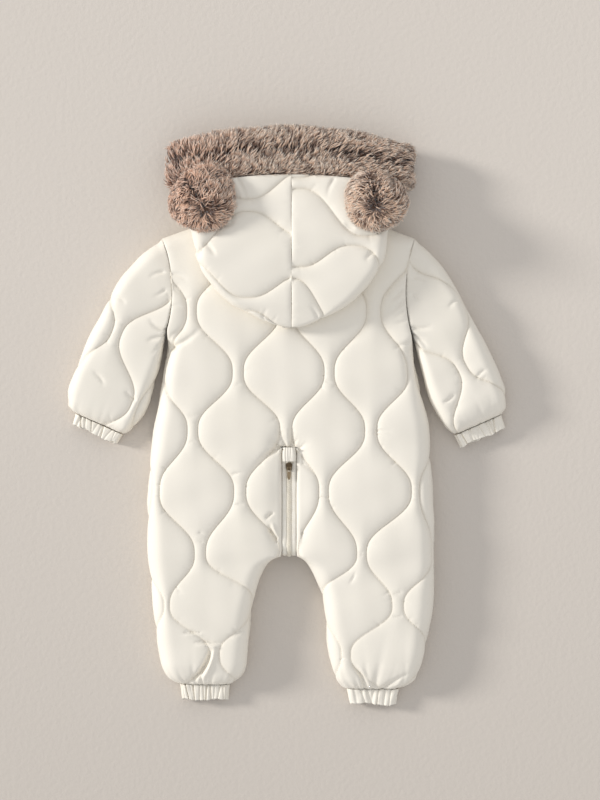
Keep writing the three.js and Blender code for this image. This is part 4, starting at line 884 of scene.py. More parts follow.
def fur_material():
    material, tree, shader = new_material(
        "long_pile", linear(150, 125, 110), 0.85, Sheen_Weight=0.5, Specular_IOR_Level=0.3
    )
    # Painted shade by depth: low-lying locks take the dark colours and tall ones the pale, with a random tone
    # per tuft.
    shade = tree.nodes.new("ShaderNodeMapRange")
    shade.interpolation_type = "SMOOTHSTEP"
    shade.inputs["From Min"].default_value = 0.24
    shade.inputs["From Max"].default_value = 0.76
    tree.links.new(attribute(tree, "tone_and_depth_shade"), shade.inputs["Value"])
    # Darker at the root: partly the fur's own colour, partly painted shade down in the pile.
    root = linear(66, 42, 30)
    body = mixed(tree, linear(94, 64, 48), linear(238, 206, 182), shade.outputs["Result"])
    tip = mixed(tree, linear(140, 106, 86), linear(255, 246, 234), shade.outputs["Result"])
    along = attribute(tree, "along")
    blends = []
    for low, high in ((0.05, 0.42), (0.5, 0.95)):
        node = tree.nodes.new("ShaderNodeMapRange")
        node.interpolation_type = "SMOOTHSTEP"
        node.inputs["From Min"].default_value = low
        node.inputs["From Max"].default_value = high
        tree.links.new(along, node.inputs["Value"])
        blends.append(node.outputs["Result"])
    first = tree.nodes.new("ShaderNodeMix")
    first.data_type = "RGBA"
    first.inputs["A"].default_value = (*root, 1)
    tree.links.new(body, first.inputs["B"])
    tree.links.new(blends[0], first.inputs["Factor"])
    second = tree.nodes.new("ShaderNodeMix")
    second.data_type = "RGBA"
    tree.links.new(first.outputs["Result"], second.inputs["A"])
    tree.links.new(tip, second.inputs["B"])
    tree.links.new(blends[1], second.inputs["Factor"])
    # The left end is a redder brown than the rest
    split = tree.nodes.new("ShaderNodeSeparateXYZ")
    tree.links.new(coordinates_of(tree), split.inputs[0])
    side = tree.nodes.new("ShaderNodeMapRange")
    side.inputs["From Min"].default_value = -0.15
    side.inputs["From Max"].default_value = -0.03
    tree.links.new(split.outputs["X"], side.inputs["Value"])
    tint = tree.nodes.new("ShaderNodeMix")
    tint.data_type = "RGBA"
    tint.blend_type = "MULTIPLY"
    tint.inputs["Factor"].default_value = 1
    tree.links.new(second.outputs["Result"], tint.inputs["A"])
    tree.links.new(mixed(tree, (1, 0.86, 0.8), (1, 0.98, 0.95), side.outputs["Result"]), tint.inputs["B"])
    tree.links.new(tint.outputs["Result"], shader.inputs["Base Color"])
    return material


# Painted shade: the core under the locks is dark brown so that the gaps between them read as the shade deep
# in the pile.
def core_shade_material():
    material, tree, shader = new_material("backing_painted_shade", linear(88, 66, 54), 0.95)
    where = coordinates_of(tree)
    colour = mixed(tree, linear(62, 44, 35), linear(108, 84, 70), noise(tree, where, 300))
    tree.links.new(colour, shader.inputs["Base Color"])
    bumped(tree, shader, [(noise(tree, where, 420), 0.8, 1.2)])
    return material


# Body

body = {
    "crown": track(CROWN),
    "split": track(LAYER_SPLIT),
    "side": {side: track(rows) for side, rows in SIDE.items()},
    "inseam": {side: track(rows) for side, rows in INSEAM.items()},
}


def armhole_x(side, y):
    first = dict(zip(SLEEVE_COLUMNS, SLEEVE[side][0]))
    f = (SHOULDER - y) / (SHOULDER - first["iy"])
    inwards = 1 if side == "left" else -1
    return lerp(first["ox"], first["ix"], f) + inwards * first["bow"] * 4 * f * (1 - f)


def outer_x(side, y):
    return np.where(y > UNDERARM[side], armhole_x(side, y), body["side"][side](y))


def zip_edge(side):
    return ZIP["x"] + (-0.5 if side == "left" else 0.5) * ZIP["opening"]


def inner_x(side, y):
    return np.where(y > ZIP["crotch"], zip_edge(side), body["inseam"][side](y))


def top_line(x, neck_level):
    reach = np.abs(x - ZIP["x"])
    dip = 0.5 + 0.5 * np.cos(math.pi * np.minimum(reach / NECK["half"], 1))
    neck = lerp(NECK["point"], neck_level, dip) - SHOULDER
    tip = np.where(x < 0, abs(SLEEVE["left"][0][1] - ZIP["x"]), abs(SLEEVE["right"][0][1] - ZIP["x"]))
    share = np.minimum(1, (reach - NECK["half"]) / (tip - NECK["half"]))
    return np.where(reach < NECK["half"], neck, (NECK["point"] - SHOULDER) * (1 - share))


def body_section(part, rows, level):
    """Sections across the whole body above the slit, or across one half of it, one for each row."""
    side = "left" if part == "whole" else part
    rows = np.asarray(rows, float)[:, None]
    below = lerp(ZIP["crotch"], HEM["right"], (rows - ZIP["crotch"]) / (HEM["left"] - ZIP["crotch"]))
    y = np.where((rows > ZIP["crotch"]) | (side == "left"), rows, below)
    crown, split = body["crown"](rows), body["split"](rows)
    leg = 1 - smooth_step(y, ZIP["crotch"] - 14, ZIP["crotch"] + 10)
    slit = 1 - smooth_step(rows, ZIP["top"] - 7, ZIP["top"])

    def blend(a, b, t):
        return {key: tuple(lerp(u, v, t) for u, v in zip(a[key], b[key])) for key in a}

    def outer_edge(which):
        sewn = smooth_step(y, UNDERARM[which] - 24, UNDERARM[which])
        return blend(rolled, sewn_edge, sewn)

    rolled = {
        "up": (ROLL["top"], split + SEAM_GAP / 2), "under": (ROLL["under"], split - SEAM_GAP / 2),
        "hold": (0,),
    }
    sewn_edge = {"up": (SEAM["roll"], crown - SEAM["deep"]), "under": (3, 3 + 0 * y), "hold": (1,)}
    at_zip = {"up": (ROLL["zip"] * slit, crown - ROLL["zip"] * slit), "under": (2, 2 + 0 * y), "hold": (1,)}
    inner_edge = blend(at_zip, rolled, leg)
    if part == "whole":
        xs, edges = (outer_x("left", y), outer_x("right", y)), (outer_edge("left"), outer_edge("right"))
    elif part == "left":
        xs, edges = (outer_x(side, y), inner_x(side, y)), (outer_edge(side), inner_edge)
    else:
        xs, edges = (inner_x(side, y), outer_x(side, y)), (inner_edge, outer_edge(side))
    fade = smooth_step(y, 150, SHOULDER)
    from_top = np.minimum(1, (SHOULDER - y) / NECK["roll"])
    torso = (outer_x("left", y), outer_x("right", y))

    def dome(inward):
        place = 2 * (xs[0] + inward - torso[0]) / (torso[1] - torso[0]) - 1
        return DOME * (1 - leg) * np.maximum(0, 1 - place**2)

    return {
        "x": xs[0], "y": y, "ax": 1.0, "ay": 0.0, "gx": 0.0, "gy": 1.0, "width": xs[1] - xs[0],
        "crown": crown,
        "split": split, "floor": 0 * y, "near": edges[0], "far": edges[1],
        "end": np.sqrt(1 - (1 - from_top) ** 2),
        "lift": lambda inward: top_line(xs[0] + inward, level) * fade, "dome": dome,
    }


def body_rows(start, end):
    """Rows of a body panel's edges between two levels, closer where it turns down into the neck seam."""
    quarter = np.linspace(0, math.pi / 2, 10)
    neck = SHOULDER - NECK["roll"] * (1 - np.cos(quarter))
    if start == SHOULDER:
        return joined(neck, steps(neck[-1], end, EDGE_STEP))
    near_crotch = ZIP["crotch"] - np.cumsum([0, 0.5, 0.8, 1.1, 1.4, 1.8, 2])
    return joined(
        steps(start, ZIP["crotch"], EDGE_STEP), near_crotch, steps(near_crotch[-1], -309, EDGE_STEP),
        steps(-309, end, 1.6)
    )


NECK_ROWS = [SHOULDER - NECK["roll"] * (1 - math.cos(math.pi / 18 * k)) for k in range(1, 5)]


def side_paths(side):
    """Outline of one half in plan: the armhole and the side seam, for puckers along them."""
    heights = np.arange(SHOULDER - 14, UNDERARM[side], -12)
    return [(float(armhole_x(side, y)), float(y)) for y in heights]


def hem_pleats(seed, depth, reach, count=11):
    """Pleats over the gathered ankles."""
    def pleats(f, row, plane):
        return gathers(f, row - HEM["left"], count, seed, depth, reach)

    return pleats


def back_rough(plane):
    """Where the back panel needs close points: by the armholes, the hems and the zip."""
    x, y = plane[..., 0], plane[..., 1]
    arm = [np.abs(x - armhole_x(side, np.clip(y, UNDERARM[side], SHOULDER))) for side in ("left", "right")]
    by_arm = (np.minimum(*arm) < 11) & (y > 95)
    by_zip = (np.abs(x - ZIP["x"]) < 19) & (y < ZIP["top"] + 16) & (y > ZIP["crotch"] - 12)
    return by_arm | by_zip | (y < -300)


def make_back(material):
    lines = Lines(back_lines())
    creases = CREASES["back"] + neck_creases(lines.lines, 3, 0.42)
    creases += (
        seam_puckers(side_paths("left"), 12, 4, side=-1)
        + seam_puckers(side_paths("right"), 12, 5, side=1)
    )
    creases += seam_puckers(
        [(zip_edge("left"), -60), (zip_edge("left"), -165)], 9, 6, side=1, pitch=11, depth=0.5
    )
    creases += seam_puckers(
        [(zip_edge("right"), -60), (zip_edge("right"), -165)], 9, 7, side=-1, pitch=11, depth=0.5
    )
    top = ZIP["top"]
    crossings = []
    for line in lines.lines:
        above = line[:, 1] > top
        crossings += line[1:][above[1:] != above[:-1], 0].tolist()

    def dimple(f, row, plane):
        beside, above = plane[..., 0] - ZIP["x"], plane[..., 1] - ZIP["top"]
        beyond = np.maximum(np.abs(beside) - ZIP["opening"] / 2, 0)
        from_slit = np.hypot(beyond, np.maximum(above, 0)) / VALLEY["reach"]
        ends = smooth_step(plane[..., 1], ZIP["crotch"] - 12, ZIP["crotch"] + 20)
        valley = VALLEY["depth"] * ends * np.exp(-(from_slit**2))
        return valley + DIMPLE["depth"] * np.exp(-((np.hypot(beside, above * 0.8) / DIMPLE["reach"]) ** 2))

    at_slit = {part: body_section(part, np.array([top]), NECK["back"]) for part in ("whole", "left", "right")}
    start = {part: float(section["x"][0, 0]) for part, section in at_slit.items()}
    low, high = (start["whole"] + float(end[0, 0]) for end in cloth_range(at_slit["whole"], True))
    stops = {
        "left": row_stops(low, zip_edge("left"), EDGE_STEP, crossings),
        "right": row_stops(zip_edge("right"), high, EDGE_STEP, crossings),
    }
    middle = row_stops(zip_edge("left"), zip_edge("right"), EDGE_STEP, crossings)
    stops["whole"] = joined(stops["left"], middle, stops["right"])
    sides = []
    for part in ("whole", "left", "right"):
        rows = body_rows(SHOULDER, top) if part == "whole" else body_rows(top, HEM["left"])
        panel = Panel(lambda at, part=part: body_section(part, at, NECK["back"]), rows)
        shared = stops[part] - start[part]
        hem = hem_pleats(8 if part == "left" else 9, 3.4, 19, 9)
        if part == "whole":
            sides.append(panel.surface(lines, creases, dimple, 1, back_rough, (None, shared), NECK_ROWS))
        else:
            def pleats(f, row, plane, hem=hem):
                return dimple(f, row, plane) + hem(f, row, plane)

            sides.append(panel.surface(lines, creases, pleats, 1, back_rough, (shared, None)))
    side = together(*sides)
    piece = cloth_piece("back", side, material, weld=True)
    threads.append((side, lines.lines))


def make_front(side, material):
    def section_at(rows):
        section = body_section(side, rows, NECK["front"])
        room = np.where(section["y"] > UNDERARM[side] - 1, 0.4, 0)
        if side == "left":
            section["x"] = section["x"] + room
        section["width"] = section["width"] - room
        return section

    rows = joined(body_rows(SHOULDER, ZIP["top"]), body_rows(ZIP["top"], HEM["left"]))
    panel = Panel(section_at, rows, up=False, coarse=UNDER_COARSE)
    lines = Lines(back_lines())
    under = panel.surface(
        lines, neck_creases(lines.lines, 12, 0.2), hem_pleats(11, 1.6, 12), 0,
        lambda plane: plane[..., 1] < -312,
        extra_rows=NECK_ROWS,
    )
    piece = cloth_piece("front_" + side, under, material)


def chord_section(table, at, side, edges):
    """Sections across a sleeve, between an outer and an inner edge in plan."""
    sign = -1 if side == "left" else 1
    value = {key: track(table, k)(at)[:, None] for k, key in enumerate(SLEEVE_COLUMNS) if k}
    away = sign * SEAM["gap"]
    width = np.hypot(value["ix"] - value["ox"], value["iy"] - value["oy"])
    ax, ay = (value["ix"] - value["ox"]) / width, (value["iy"] - value["oy"]) / width
    bow = value["bow"]
    return {
        "x": value["ox"] + away, "y": value["oy"], "ax": ax, "ay": ay, "gx": sign * ay, "gy": -sign * ax,
        "width": width, "split": value["split"], "floor": 0 * width, **edges(value, at[:, None]),
        "lift": lambda inward: bow * 4 * (inward / width) * (1 - inward / width),
    }


def sleeve_edges(length):
    """Crown and rolled edges of a sleeve, lower where it is sewn on and rounder by the cuff."""
    def edges(value, at):
        near_cuff = smooth_step(at, length - 22, length)
        dip = SEAM["deep"] * (1 - np.sin(math.pi / 2 * np.minimum(1, at / SEAM["roll"])))
        edge = {
            "up": (lerp(18, 9, near_cuff), value["split"]),
            "under": (lerp(ROLL["under"], 7, near_cuff), value["split"]),
        }
        return {"crown": value["crown"] - dip, "near": edge, "far": edge}

    return edges


def joined_under(top, under):
    """Draws the long edges of an underside up to those of the side above it."""
    for upper, lower in zip(top["edges"], under["edges"]):
        under["points"][lower] = top["points"][upper]
    return together(top, under)


def make_sleeve(side, material):
    table = SLEEVE[side]
    length = table[-1][0]
    rows = joined(steps(0, length - 22, EDGE_STEP), steps(length - 22, length, 1.5))
    name = "sleeve_" + side
    lines = Lines(sleeve_lines(FABRIC[name]))
    creases = CREASES[name] + neck_creases(lines.lines, 14, 0.42)
    creases += seam_puckers(side_paths(side), 12, 15, side=1 if side == "left" else -1)
    seed = 16 if side == "left" else 17

    def section_at(at):
        return chord_section(table, at, side, sleeve_edges(length))

    def pleats(f, row, plane):
        return gathers(f, length - row, 9, seed, 2.4, 15)

    start, end = (np.array([[table[k][1], table[k][2]], [table[k][3], table[k][4]]], float) for k in (0, -1))

    def rough(plane):
        return (segment_gap(plane, *start) < 12) | (segment_gap(plane, *end) < 26)

    def held(at):
        return smooth_step(at, -1, SEAM["roll"])

    top = Panel(section_at, rows).surface(lines, creases, pleats, seed, rough, held=held)
    under = Panel(section_at, rows, up=False, coarse=UNDER_COARSE).surface(
        lines, (), pleats, seed + 1, lambda plane: segment_gap(plane, *end) < 20, held=held
    )
    piece = cloth_piece(name, joined_under(top, under), material, weld=True)
    threads.append((top, lines.lines))


def segment_gap(plane, start, end):
    way = end - start
    t = np.clip(((plane - start) @ way) / (way @ way), 0, 1)
    return np.linalg.norm(plane - start - t[..., None] * way, axis=-1)


def hood_section(side, rows):
    column = {key: track(HOOD, k) for k, key in enumerate(HOOD_COLUMNS) if k}
    rows = np.asarray(rows, float)[:, None]
    floor, crown, width = column["floor"](rows), column["crown"](rows), column[side](rows)
    split = (floor + crown) / 2
    fold = np.minimum((crown - floor) * 0.55, width * 0.8)
    sign = -1 if side == "left" else 1
    sag = smooth_step(rows, 225, 296) * HOOD_SAG
    return {
        "x": HOOD_SEAM_X + sign * SEAM["gap"] / 2 + 0 * rows, "y": rows, "ax": float(sign), "ay": 0.0,
        "gx": 0.0,
        "gy": 1.0, "width": width, "crown": crown, "split": split, "floor": floor,
        "near": {
            "up": (HOOD_SEAM["roll"] + 0 * rows, crown - HOOD_SEAM["deep"]),
            "under": (2 + 0 * rows, floor + 1),
            "hold": (1,),
        },
        "far": {"up": (fold, split), "under": (fold, split)},
        "lift": lambda inward: -sag * (inward / width) ** 2,
    }


def make_hood(side, material):
    rows = joined(steps(296, 142, EDGE_STEP), steps(142, 118, 1.7), steps(118, 110, 1))
    name = "hood_" + side
    lines = Lines([waving(turns) for turns in HOOD_TURNS[name]])
    seam = [(HOOD_SEAM_X, 112), (HOOD_SEAM_X, 292)]
    creases = CREASES[name] + neck_creases(lines.lines, 21, 0.42)
    creases += seam_puckers(
        seam, 9, 22 if side == "left" else 23, side=1 if side == "left" else -1, pitch=12, depth=0.55
    )

    def section_at(at):
        return hood_section(side, at)

    def rough(plane):
        return (np.abs(plane[..., 0] - HOOD_SEAM_X) < 10) | (plane[..., 1] < 132)

    top = Panel(section_at, rows).surface(lines, creases, None, 24, rough)
    bare = Lines([np.array([(900.0, 900.0), (900.5, 900.0)])])
    under = Panel(section_at, rows, up=False, coarse=UNDER_COARSE).surface(bare)
    far = [side_points["edges"][1] for side_points in (top, under)]
    under["points"][far[1]] = top["points"][far[0]]
    piece = cloth_piece(name, together(top, under), material, wall=WALL, weld=True)
    threads.append((top, lines.lines))


def make_cuff(name, material):
    cuff = CUFFS[name]
    per_side = 12 * cuff["folds"]
    t = np.linspace(0, 1, 13)[:, None]
    ox, oy, ix, iy = (lerp(a, b, t) for a, b in zip(cuff["start"], cuff["end"]))
    width = np.hypot(ix - ox, iy - oy)
    ax, ay = (ix - ox) / width, (iy - oy) / width
    radius = CUFF["radius"]
    edge = {"up": (radius + 0 * t, CUFF["split"] + 0 * t), "under": (radius + 0 * t, CUFF["split"] + 0 * t)}
    section = {
        "x": ox, "y": oy, "ax": ax, "ay": ay, "gx": ay, "gy": -ax, "width": width,
        "split": CUFF["split"] + 0 * t,
        "crown": CUFF["crown"] - 1.5 * t, "floor": CUFF["floor"] + 0 * t, "near": edge, "far": edge,
        "lift": lambda inward: 0 * inward,
    }
    seed = sum(map(ord, name))
    rng = np.random.default_rng(seed)
    sides = []
    for up in (True, False):
        f = np.linspace(0, 1, per_side + 1)[None] if up else np.linspace(1, 0, per_side + 1)[None, 1:-1]
        low, high = cloth_range(section, up)
        sink = np.zeros((len(t), f.shape[1]))
        count = cuff["folds"] + (0 if up else 2)
        for k in range(count):
            place = (k + 0.5 + rng.uniform(-0.42, 0.42)) / count
            slant = rng.uniform(-0.7, 0.7) / count
            wide = rng.uniform(0.12, 0.3) / count
            deep = rng.uniform(0.5, 3.4)
            middle = 1 - 0.35 * np.sin(math.pi * t) * rng.uniform(0, 1)
            sink += deep * middle * np.exp(-(((f - place - slant * (t - 0.5)) / wide) ** 2))
        sink += 0.5 * np.exp(-(((t - 0.86) / 0.05) ** 2)) + 0.25 * np.sin(25 * f + 5 * t)
        sink = np.maximum(sink, 0) if not up else sink
        start = rng.uniform(0, 6, 3)
        hem = (
            1.1 * np.sin(9 * f + start[0])
            + 0.45 * np.sin(23 * f + start[1])
            + 0.2 * np.sin(47 * f + start[2])
        )
        sides.append(lay(section, lerp(low, high, f), sink, hem * t * t, up))
    points = np.concatenate(sides, 1)
    on = np.zeros(points.shape[:2], bool)
    faces = grid_faces(points, on, ring=True, core=points.reshape(-1, 3).mean(0))
    piece = make_mesh(name + "_cloth", points.reshape(-1, 3), faces, material, {"painted_groove_shade": np.zeros(on.size)})
    solidify(piece, 0.9)
    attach(piece, "root")
    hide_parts(name)


# Zip

CHAIN_TOP = TAPE["level"] + CHAIN["thick"] / 2 + 0.4
LIP = {"x": (0.12, 3.2), "thick": 1, "lift": -0.2}  # the tapes' inner lips, under the teeth


def zip_path(spacing):
    """Points and outward directions along the zip: up the seat, round the crotch and along the front."""
    bend = (TAPE["level"] - TAPE["floor"]) / 2
    middle = (TAPE["level"] + TAPE["floor"]) / 2
    turn_y = ZIP["crotch"] + bend + 1
    runs = [
        (ZIP["top"] - 1 - turn_y, lambda s: (ZIP["top"] - 1 - s, TAPE["level"], 0, 1)),
        (
            math.pi * bend,
            lambda s: (
                turn_y - bend * math.sin(s / bend), middle + bend * math.cos(s / bend),
                -math.sin(s / bend), math.cos(s / bend),
            ),
        ),
        (ZIP["front"] - turn_y, lambda s: (turn_y + s, TAPE["floor"], 0, -1)),
    ]
    path = []
    for length, place in runs:
        count = max(2, int(length / spacing))
        path += [place(length * i / count) for i in range(count)]
    path.append(runs[-1][1](runs[-1][0]))
    return np.array(path)


def ribbon(node, name, x0, x1, thick, lift, material, waviness):
    """A woven ribbon along the zip: softly rounded edges and a slight wave."""
    path = zip_path(2.5)
    corners = []
    across, half = 7, thick / 2
    for k in range(across):
        f = k / (across - 1)
        corners.append((lerp(x0, x1, f), half * (0.55 + 0.45 * math.sin(math.pi * f))))
    section = corners + [(x, -half) for x, _ in reversed(corners)]
    rng = np.random.default_rng(int(abs(x0) * 10))
    start = rng.uniform(0, 6, 3)
    points = []
    for i, (y, z, ny, nz) in enumerate(path):
        wave = waviness * (math.sin(i * 0.31 + start[0]) + 0.6 * math.sin(i * 0.83 + start[1]))
        for x, out in section:
            edge = abs(2 * (x - x0) / (x1 - x0) - 1)
            push = lift + out + wave * (0.3 + 0.7 * edge)
            points.append((x, y + ny * push, z + nz * push))
    count = len(section)
    faces = []
    for i in range(len(path) - 1):
        for k in range(count):
            a, b = i * count + k, i * count + (k + 1) % count
            faces += [(a, b, b + count), (a, b + count, a + count)]
    for start_index in (0, (len(path) - 1) * count):
        turn = 1 if start_index else -1
        for k in range(1, count - 1):
            triangle = (start_index, start_index + k, start_index + k + 1)
            faces.append(triangle[::turn])
    points = np.array(points)
    faces = np.array(faces)
    centre = points[: 2 * count].mean(0)
    a, b, c = (points[faces[: 2 * count, k]] - centre for k in range(3))
    if (a * np.cross(b, c)).sum() < 0:
        faces = faces[:, ::-1]
    piece = make_mesh(name + "_woven", points, faces, material)
    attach(piece, "root")
    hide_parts(node)


def make_chain(material):
    """Coil teeth: bent rods that reach in from each side and meet in turn along the middle."""
    path = zip_path(1.35)
    points, faces = [], []
    sides = 6
    for i, (y, z, ny, nz) in enumerate(path):
        ty, tz = nz, -ny
        mirror = 1 if i % 2 else -1
        bends = [(2.75, 0.1, -0.2), (1.9, 0.75, -0.1), (0.5, 0.95, 0), (-0.45, 0.8, 0.05), (-0.75, 0.2, 0.1)]
        radius = [0.38, 0.5, 0.55, 0.55, 0.35]
        base = len(points)
        for (across, out, along), thick in zip(bends, radius):
            for k in range(sides):
                turn = 2 * math.pi * k / sides
                rise, run = thick * math.sin(turn), thick * math.cos(turn)
                push = 0.4 + out + rise
                slide = along + run
                points.append(
                    (ZIP["x"] + mirror * across, y + ny * push + ty * slide, z + nz * push + tz * slide)
                )
        for ring in range(len(bends) - 1):
            for k in range(sides):
                a, b = base + ring * sides + k, base + ring * sides + (k + 1) % sides
                quad = (a, b, b + sides, a + sides)
                faces.append(quad if mirror > 0 else quad[::-1])
        for ring, flip in ((0, mirror > 0), (len(bends) - 1, mirror < 0)):
            cap = [base + ring * sides + k for k in range(sides)]
            faces.append(tuple(cap[::-1] if flip else cap))
    points = np.array(points)
    mesh = bpy.data.meshes.new("zip_chain_teeth")
    mesh.from_pydata((points * MM).tolist(), [], faces)
    mesh.shade_smooth()
    mesh.materials.append(material)
    piece = bpy.data.objects.new("zip_chain_teeth", mesh)
    bpy.context.scene.collection.objects.link(piece)
    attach(piece, "root")
    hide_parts("zip_chain")


def bevelled(node, name, on, material, width):
    """A metal piece with the solid's form and softly broken edges."""
    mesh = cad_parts[node].data.copy()
    mesh.materials.clear()
    mesh.materials.append(material)
    piece = bpy.data.objects.new(name, mesh)
    bpy.context.scene.collection.objects.link(piece)
    bevel = piece.modifiers.new("edges", "BEVEL")
    bevel.width = width * MM
    bevel.segments = 3
    bevel.limit_method = "ANGLE"
    bevel.angle_limit = math.radians(35)
    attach(piece, on)
    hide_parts(node)


def make_guard(material):
    """The small gathered cover over the zip's end."""
    rows = steps(ZIP["top"] - 0.5, -53.2, 0.9)
    t = (rows - rows[0]) / (rows[-1] - rows[0])
    narrow = np.interp(t, [0, 0.3, 0.65, 1], [1.2, 0.2, 0, 0.4])[:, None]
    half = ZIP["opening"] / 2 - 0.6 - narrow
    crown = CHAIN_TOP + np.interp(t, [0, 0.3, 0.65, 1], [3.4, 4.4, 4.6, 3.6])[:, None]
    base = CHAIN_TOP + SEAM_GAP
    edge = {"up": (3 + 0 * half, base + 1.2 + 0 * half), "under": (1 + 0 * half, base + 1 + 0 * half)}
    section = {
        "x": ZIP["x"] - half, "y": rows[:, None], "ax": 1.0, "ay": 0.0, "gx": 0.0, "gy": 1.0,
        "width": 2 * half,
        "crown": crown, "split": CHAIN_TOP + 1 + 0 * half, "floor": base + 0 * half, "near": edge,
        "far": edge,
        "lift": lambda inward: 0 * inward,
    }
    low, high = cloth_range(section, True)
    f = np.linspace(0, 1, 61)[None]
    sink = np.zeros((len(rows), f.shape[1]))
    rng = np.random.default_rng(31)
    for place in (0.12, 0.27, 0.45, 0.62, 0.8, 0.9):
        slant = rng.uniform(-0.06, 0.06)
        sink += (
            rng.uniform(0.6, 1.5)
            * np.exp(-(((f - place - slant * t[:, None]) / 0.035) ** 2))
            * (1 - 0.35 * t[:, None])
        )
    points = lay(section, lerp(low, high, f), sink, 0.0, True)
    on = np.zeros(points.shape[:2], bool)
    faces = grid_faces(points, on, core=points.reshape(-1, 3).mean(0) - (0, 0, 12))
    piece = make_mesh(
        "zip_guard_cloth", points.reshape(-1, 3), faces, material, {"painted_groove_shade": np.zeros(on.size)}
    )
    solidify(piece, 0.8)
    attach(piece, "root")
    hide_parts("zip_guard")


def make_stitches(material):
    """Running stitches along every quilting line that shows, each a small rounded bar let into the cloth."""
    pitch, length, radius = 3.0, 2.0, 0.34
    points, faces = [], []
    sides = 5
    for quilted_side, lines in threads:
        plane, side_faces, space = quilted_side["plane"], quilted_side["faces"], quilted_side["points"]
        flat = [Vector((x, y, 0)) for x, y in plane.tolist()]
        solid = [Vector(p) for p in space.tolist()]
        tree = BVHTree.FromPolygons(flat, side_faces.tolist())
        low, high = plane.min(0), plane.max(0)

        def on_cloth(x, y):
            place, _, index, gap = tree.find_nearest((x, y, 0))
            if index is None or gap > 0.2:
                return None
            a, b, c = side_faces[index].tolist()
            return barycentric_transform(place, flat[a], flat[b], flat[c], solid[a], solid[b], solid[c])

        for line in lines:
            for i in range(0, len(line) - 5, int(pitch * 2)):
                start, end = line[i], line[i + int(length * 2)]
                if (start < low).any() or (start > high).any():
                    continue
                a, b = on_cloth(*start), on_cloth(*end)
                if a is None or b is None or not 0.5 < (b - a).length < 1.6 * length:
                    continue
                way = (b - a).normalized()
                side = way.cross(Vector((0, 0, 1))).normalized()
                rise = side.cross(way)
                base = len(points)
                for t, thick, lift in ((0, 0.35, -0.1), (0.25, 1, 0.22), (0.75, 1, 0.22), (1, 0.35, -0.1)):
                    centre = a.lerp(b, t) + rise * lift
                    for k in range(sides):
                        turn = 2 * math.pi * k / sides
                        offset = side * math.cos(turn) + rise * math.sin(turn)
                        points.append(centre + offset * radius * thick)
                for ring in range(3):
                    for k in range(sides):
                        p, q = base + ring * sides + k, base + ring * sides + (k + 1) % sides
                        faces.append((p, p + sides, q + sides, q))
                faces.append(tuple(base + k for k in range(sides)))
                faces.append(tuple(base + 3 * sides + k for k in reversed(range(sides))))
    mesh = bpy.data.meshes.new("quilting_thread")
    mesh.from_pydata([tuple(p * MM) for p in points], [], faces)
    mesh.shade_smooth()
    mesh.materials.append(material)
    piece = bpy.data.objects.new("quilting_thread", mesh)
    bpy.context.scene.collection.objects.link(piece)
    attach(piece, "root")


# Fur

FUR_FLOOR = 0.4
TUFT = 5  # locks in one tuft
VALE = {"depth": 7, "reach": 7}  # the hollow along each ear's parting


def unit(v):
    return v / np.maximum(np.linalg.norm(v, axis=-1, keepdims=True), 1e-9)


def locks(name, roots, normals, flow, material, seed, length, width, rise):
    """A mesh of small tapered locks that lie along the flow, dark at the root and pale at the tip; the dark
    root is partly the fur's colour and partly painted shade.
    """
    rng = np.random.default_rng(seed)
    count = len(roots)
    along = unit(flow - (flow * normals).sum(-1, keepdims=True) * normals)
    side = np.cross(normals, along)
    tuft = KDTree(len(roots) // TUFT)
    leaders = rng.choice(count, len(roots) // TUFT, replace=False)
    for k, leader in enumerate(leaders):
        tuft.insert(roots[leader], k)
    tuft.balance()
    led = np.array([tuft.find(root)[1] for root in roots])
    share = rng.uniform(0, 1, len(leaders))[led][:, None]
    lean = rng.normal(0, 0.2, len(leaders))[led][:, None]
    along = unit(along + side * lean)
    side = np.cross(normals, along)
    long = lerp(*length, 0.55 * share + 0.45 * rng.uniform(0, 1, (count, 1)))
    lifted = 0.4 * share + 0.6 * rng.uniform(0, 1, (count, 1))
    tall = lerp(*rise, lifted)
    curl = rng.normal(0, 0.13, (count, 1)) * long
    towards = roots[leaders][led] - roots
    gathered = unit(towards) * np.minimum(np.linalg.norm(towards, axis=-1, keepdims=True), 2) * 0.5
    thick = rng.uniform(*width, (count, 1))
    stages = [(0, 1.0), (0.38, 0.95), (0.74, 0.6)]
    corners = 3
    rings = []
    for t, wide in stages:
        height = tall * math.sin(math.pi / 2 * min(1, 1.25 * t)) ** 0.9 if t else 0 * tall
        centre = roots + along * long * t**1.1 + normals * height + side * curl * t * t + gathered * t
        for k in range(corners):
            turn = 2 * math.pi * k / corners
            rings.append(centre + (side * math.cos(turn) + normals * math.sin(turn) * 0.8) * thick * wide)
    tip = roots + along * long + normals * tall * 0.9 + side * curl + gathered
    points = np.stack(rings + [tip], 1)
    points[..., 2] = np.maximum(points[..., 2], FUR_FLOOR)
    per = corners * len(stages) + 1
    faces = []
    for ring in range(len(stages) - 1):
        for k in range(corners):
            a, b = ring * corners + k, ring * corners + (k + 1) % corners
            faces += [(a, b, b + corners), (a, b + corners, a + corners)]
    last = corners * (len(stages) - 1)
    faces += [(last + k, last + (k + 1) % corners, per - 1) for k in range(corners)]
    faces.append((2, 1, 0))
    faces = (np.array(faces)[None] + per * np.arange(count)[:, None, None]).reshape(-1, 3)
    stage = np.array([t for t, _ in stages for _ in range(corners)] + [1.0])
    attributes = {
        # Locks that rise less are painted darker, as shade deeper in the pile; tufts and single locks also
        # differ in tone at random.
        "along": np.tile(stage, count),
        "tone_and_depth_shade": np.repeat(0.45 * share[:, 0] + 0.35 * lifted[:, 0] + 0.2 * rng.uniform(0, 1, count), per),
    }
    return make_mesh(name, points.reshape(-1, 3), faces, material, attributes)


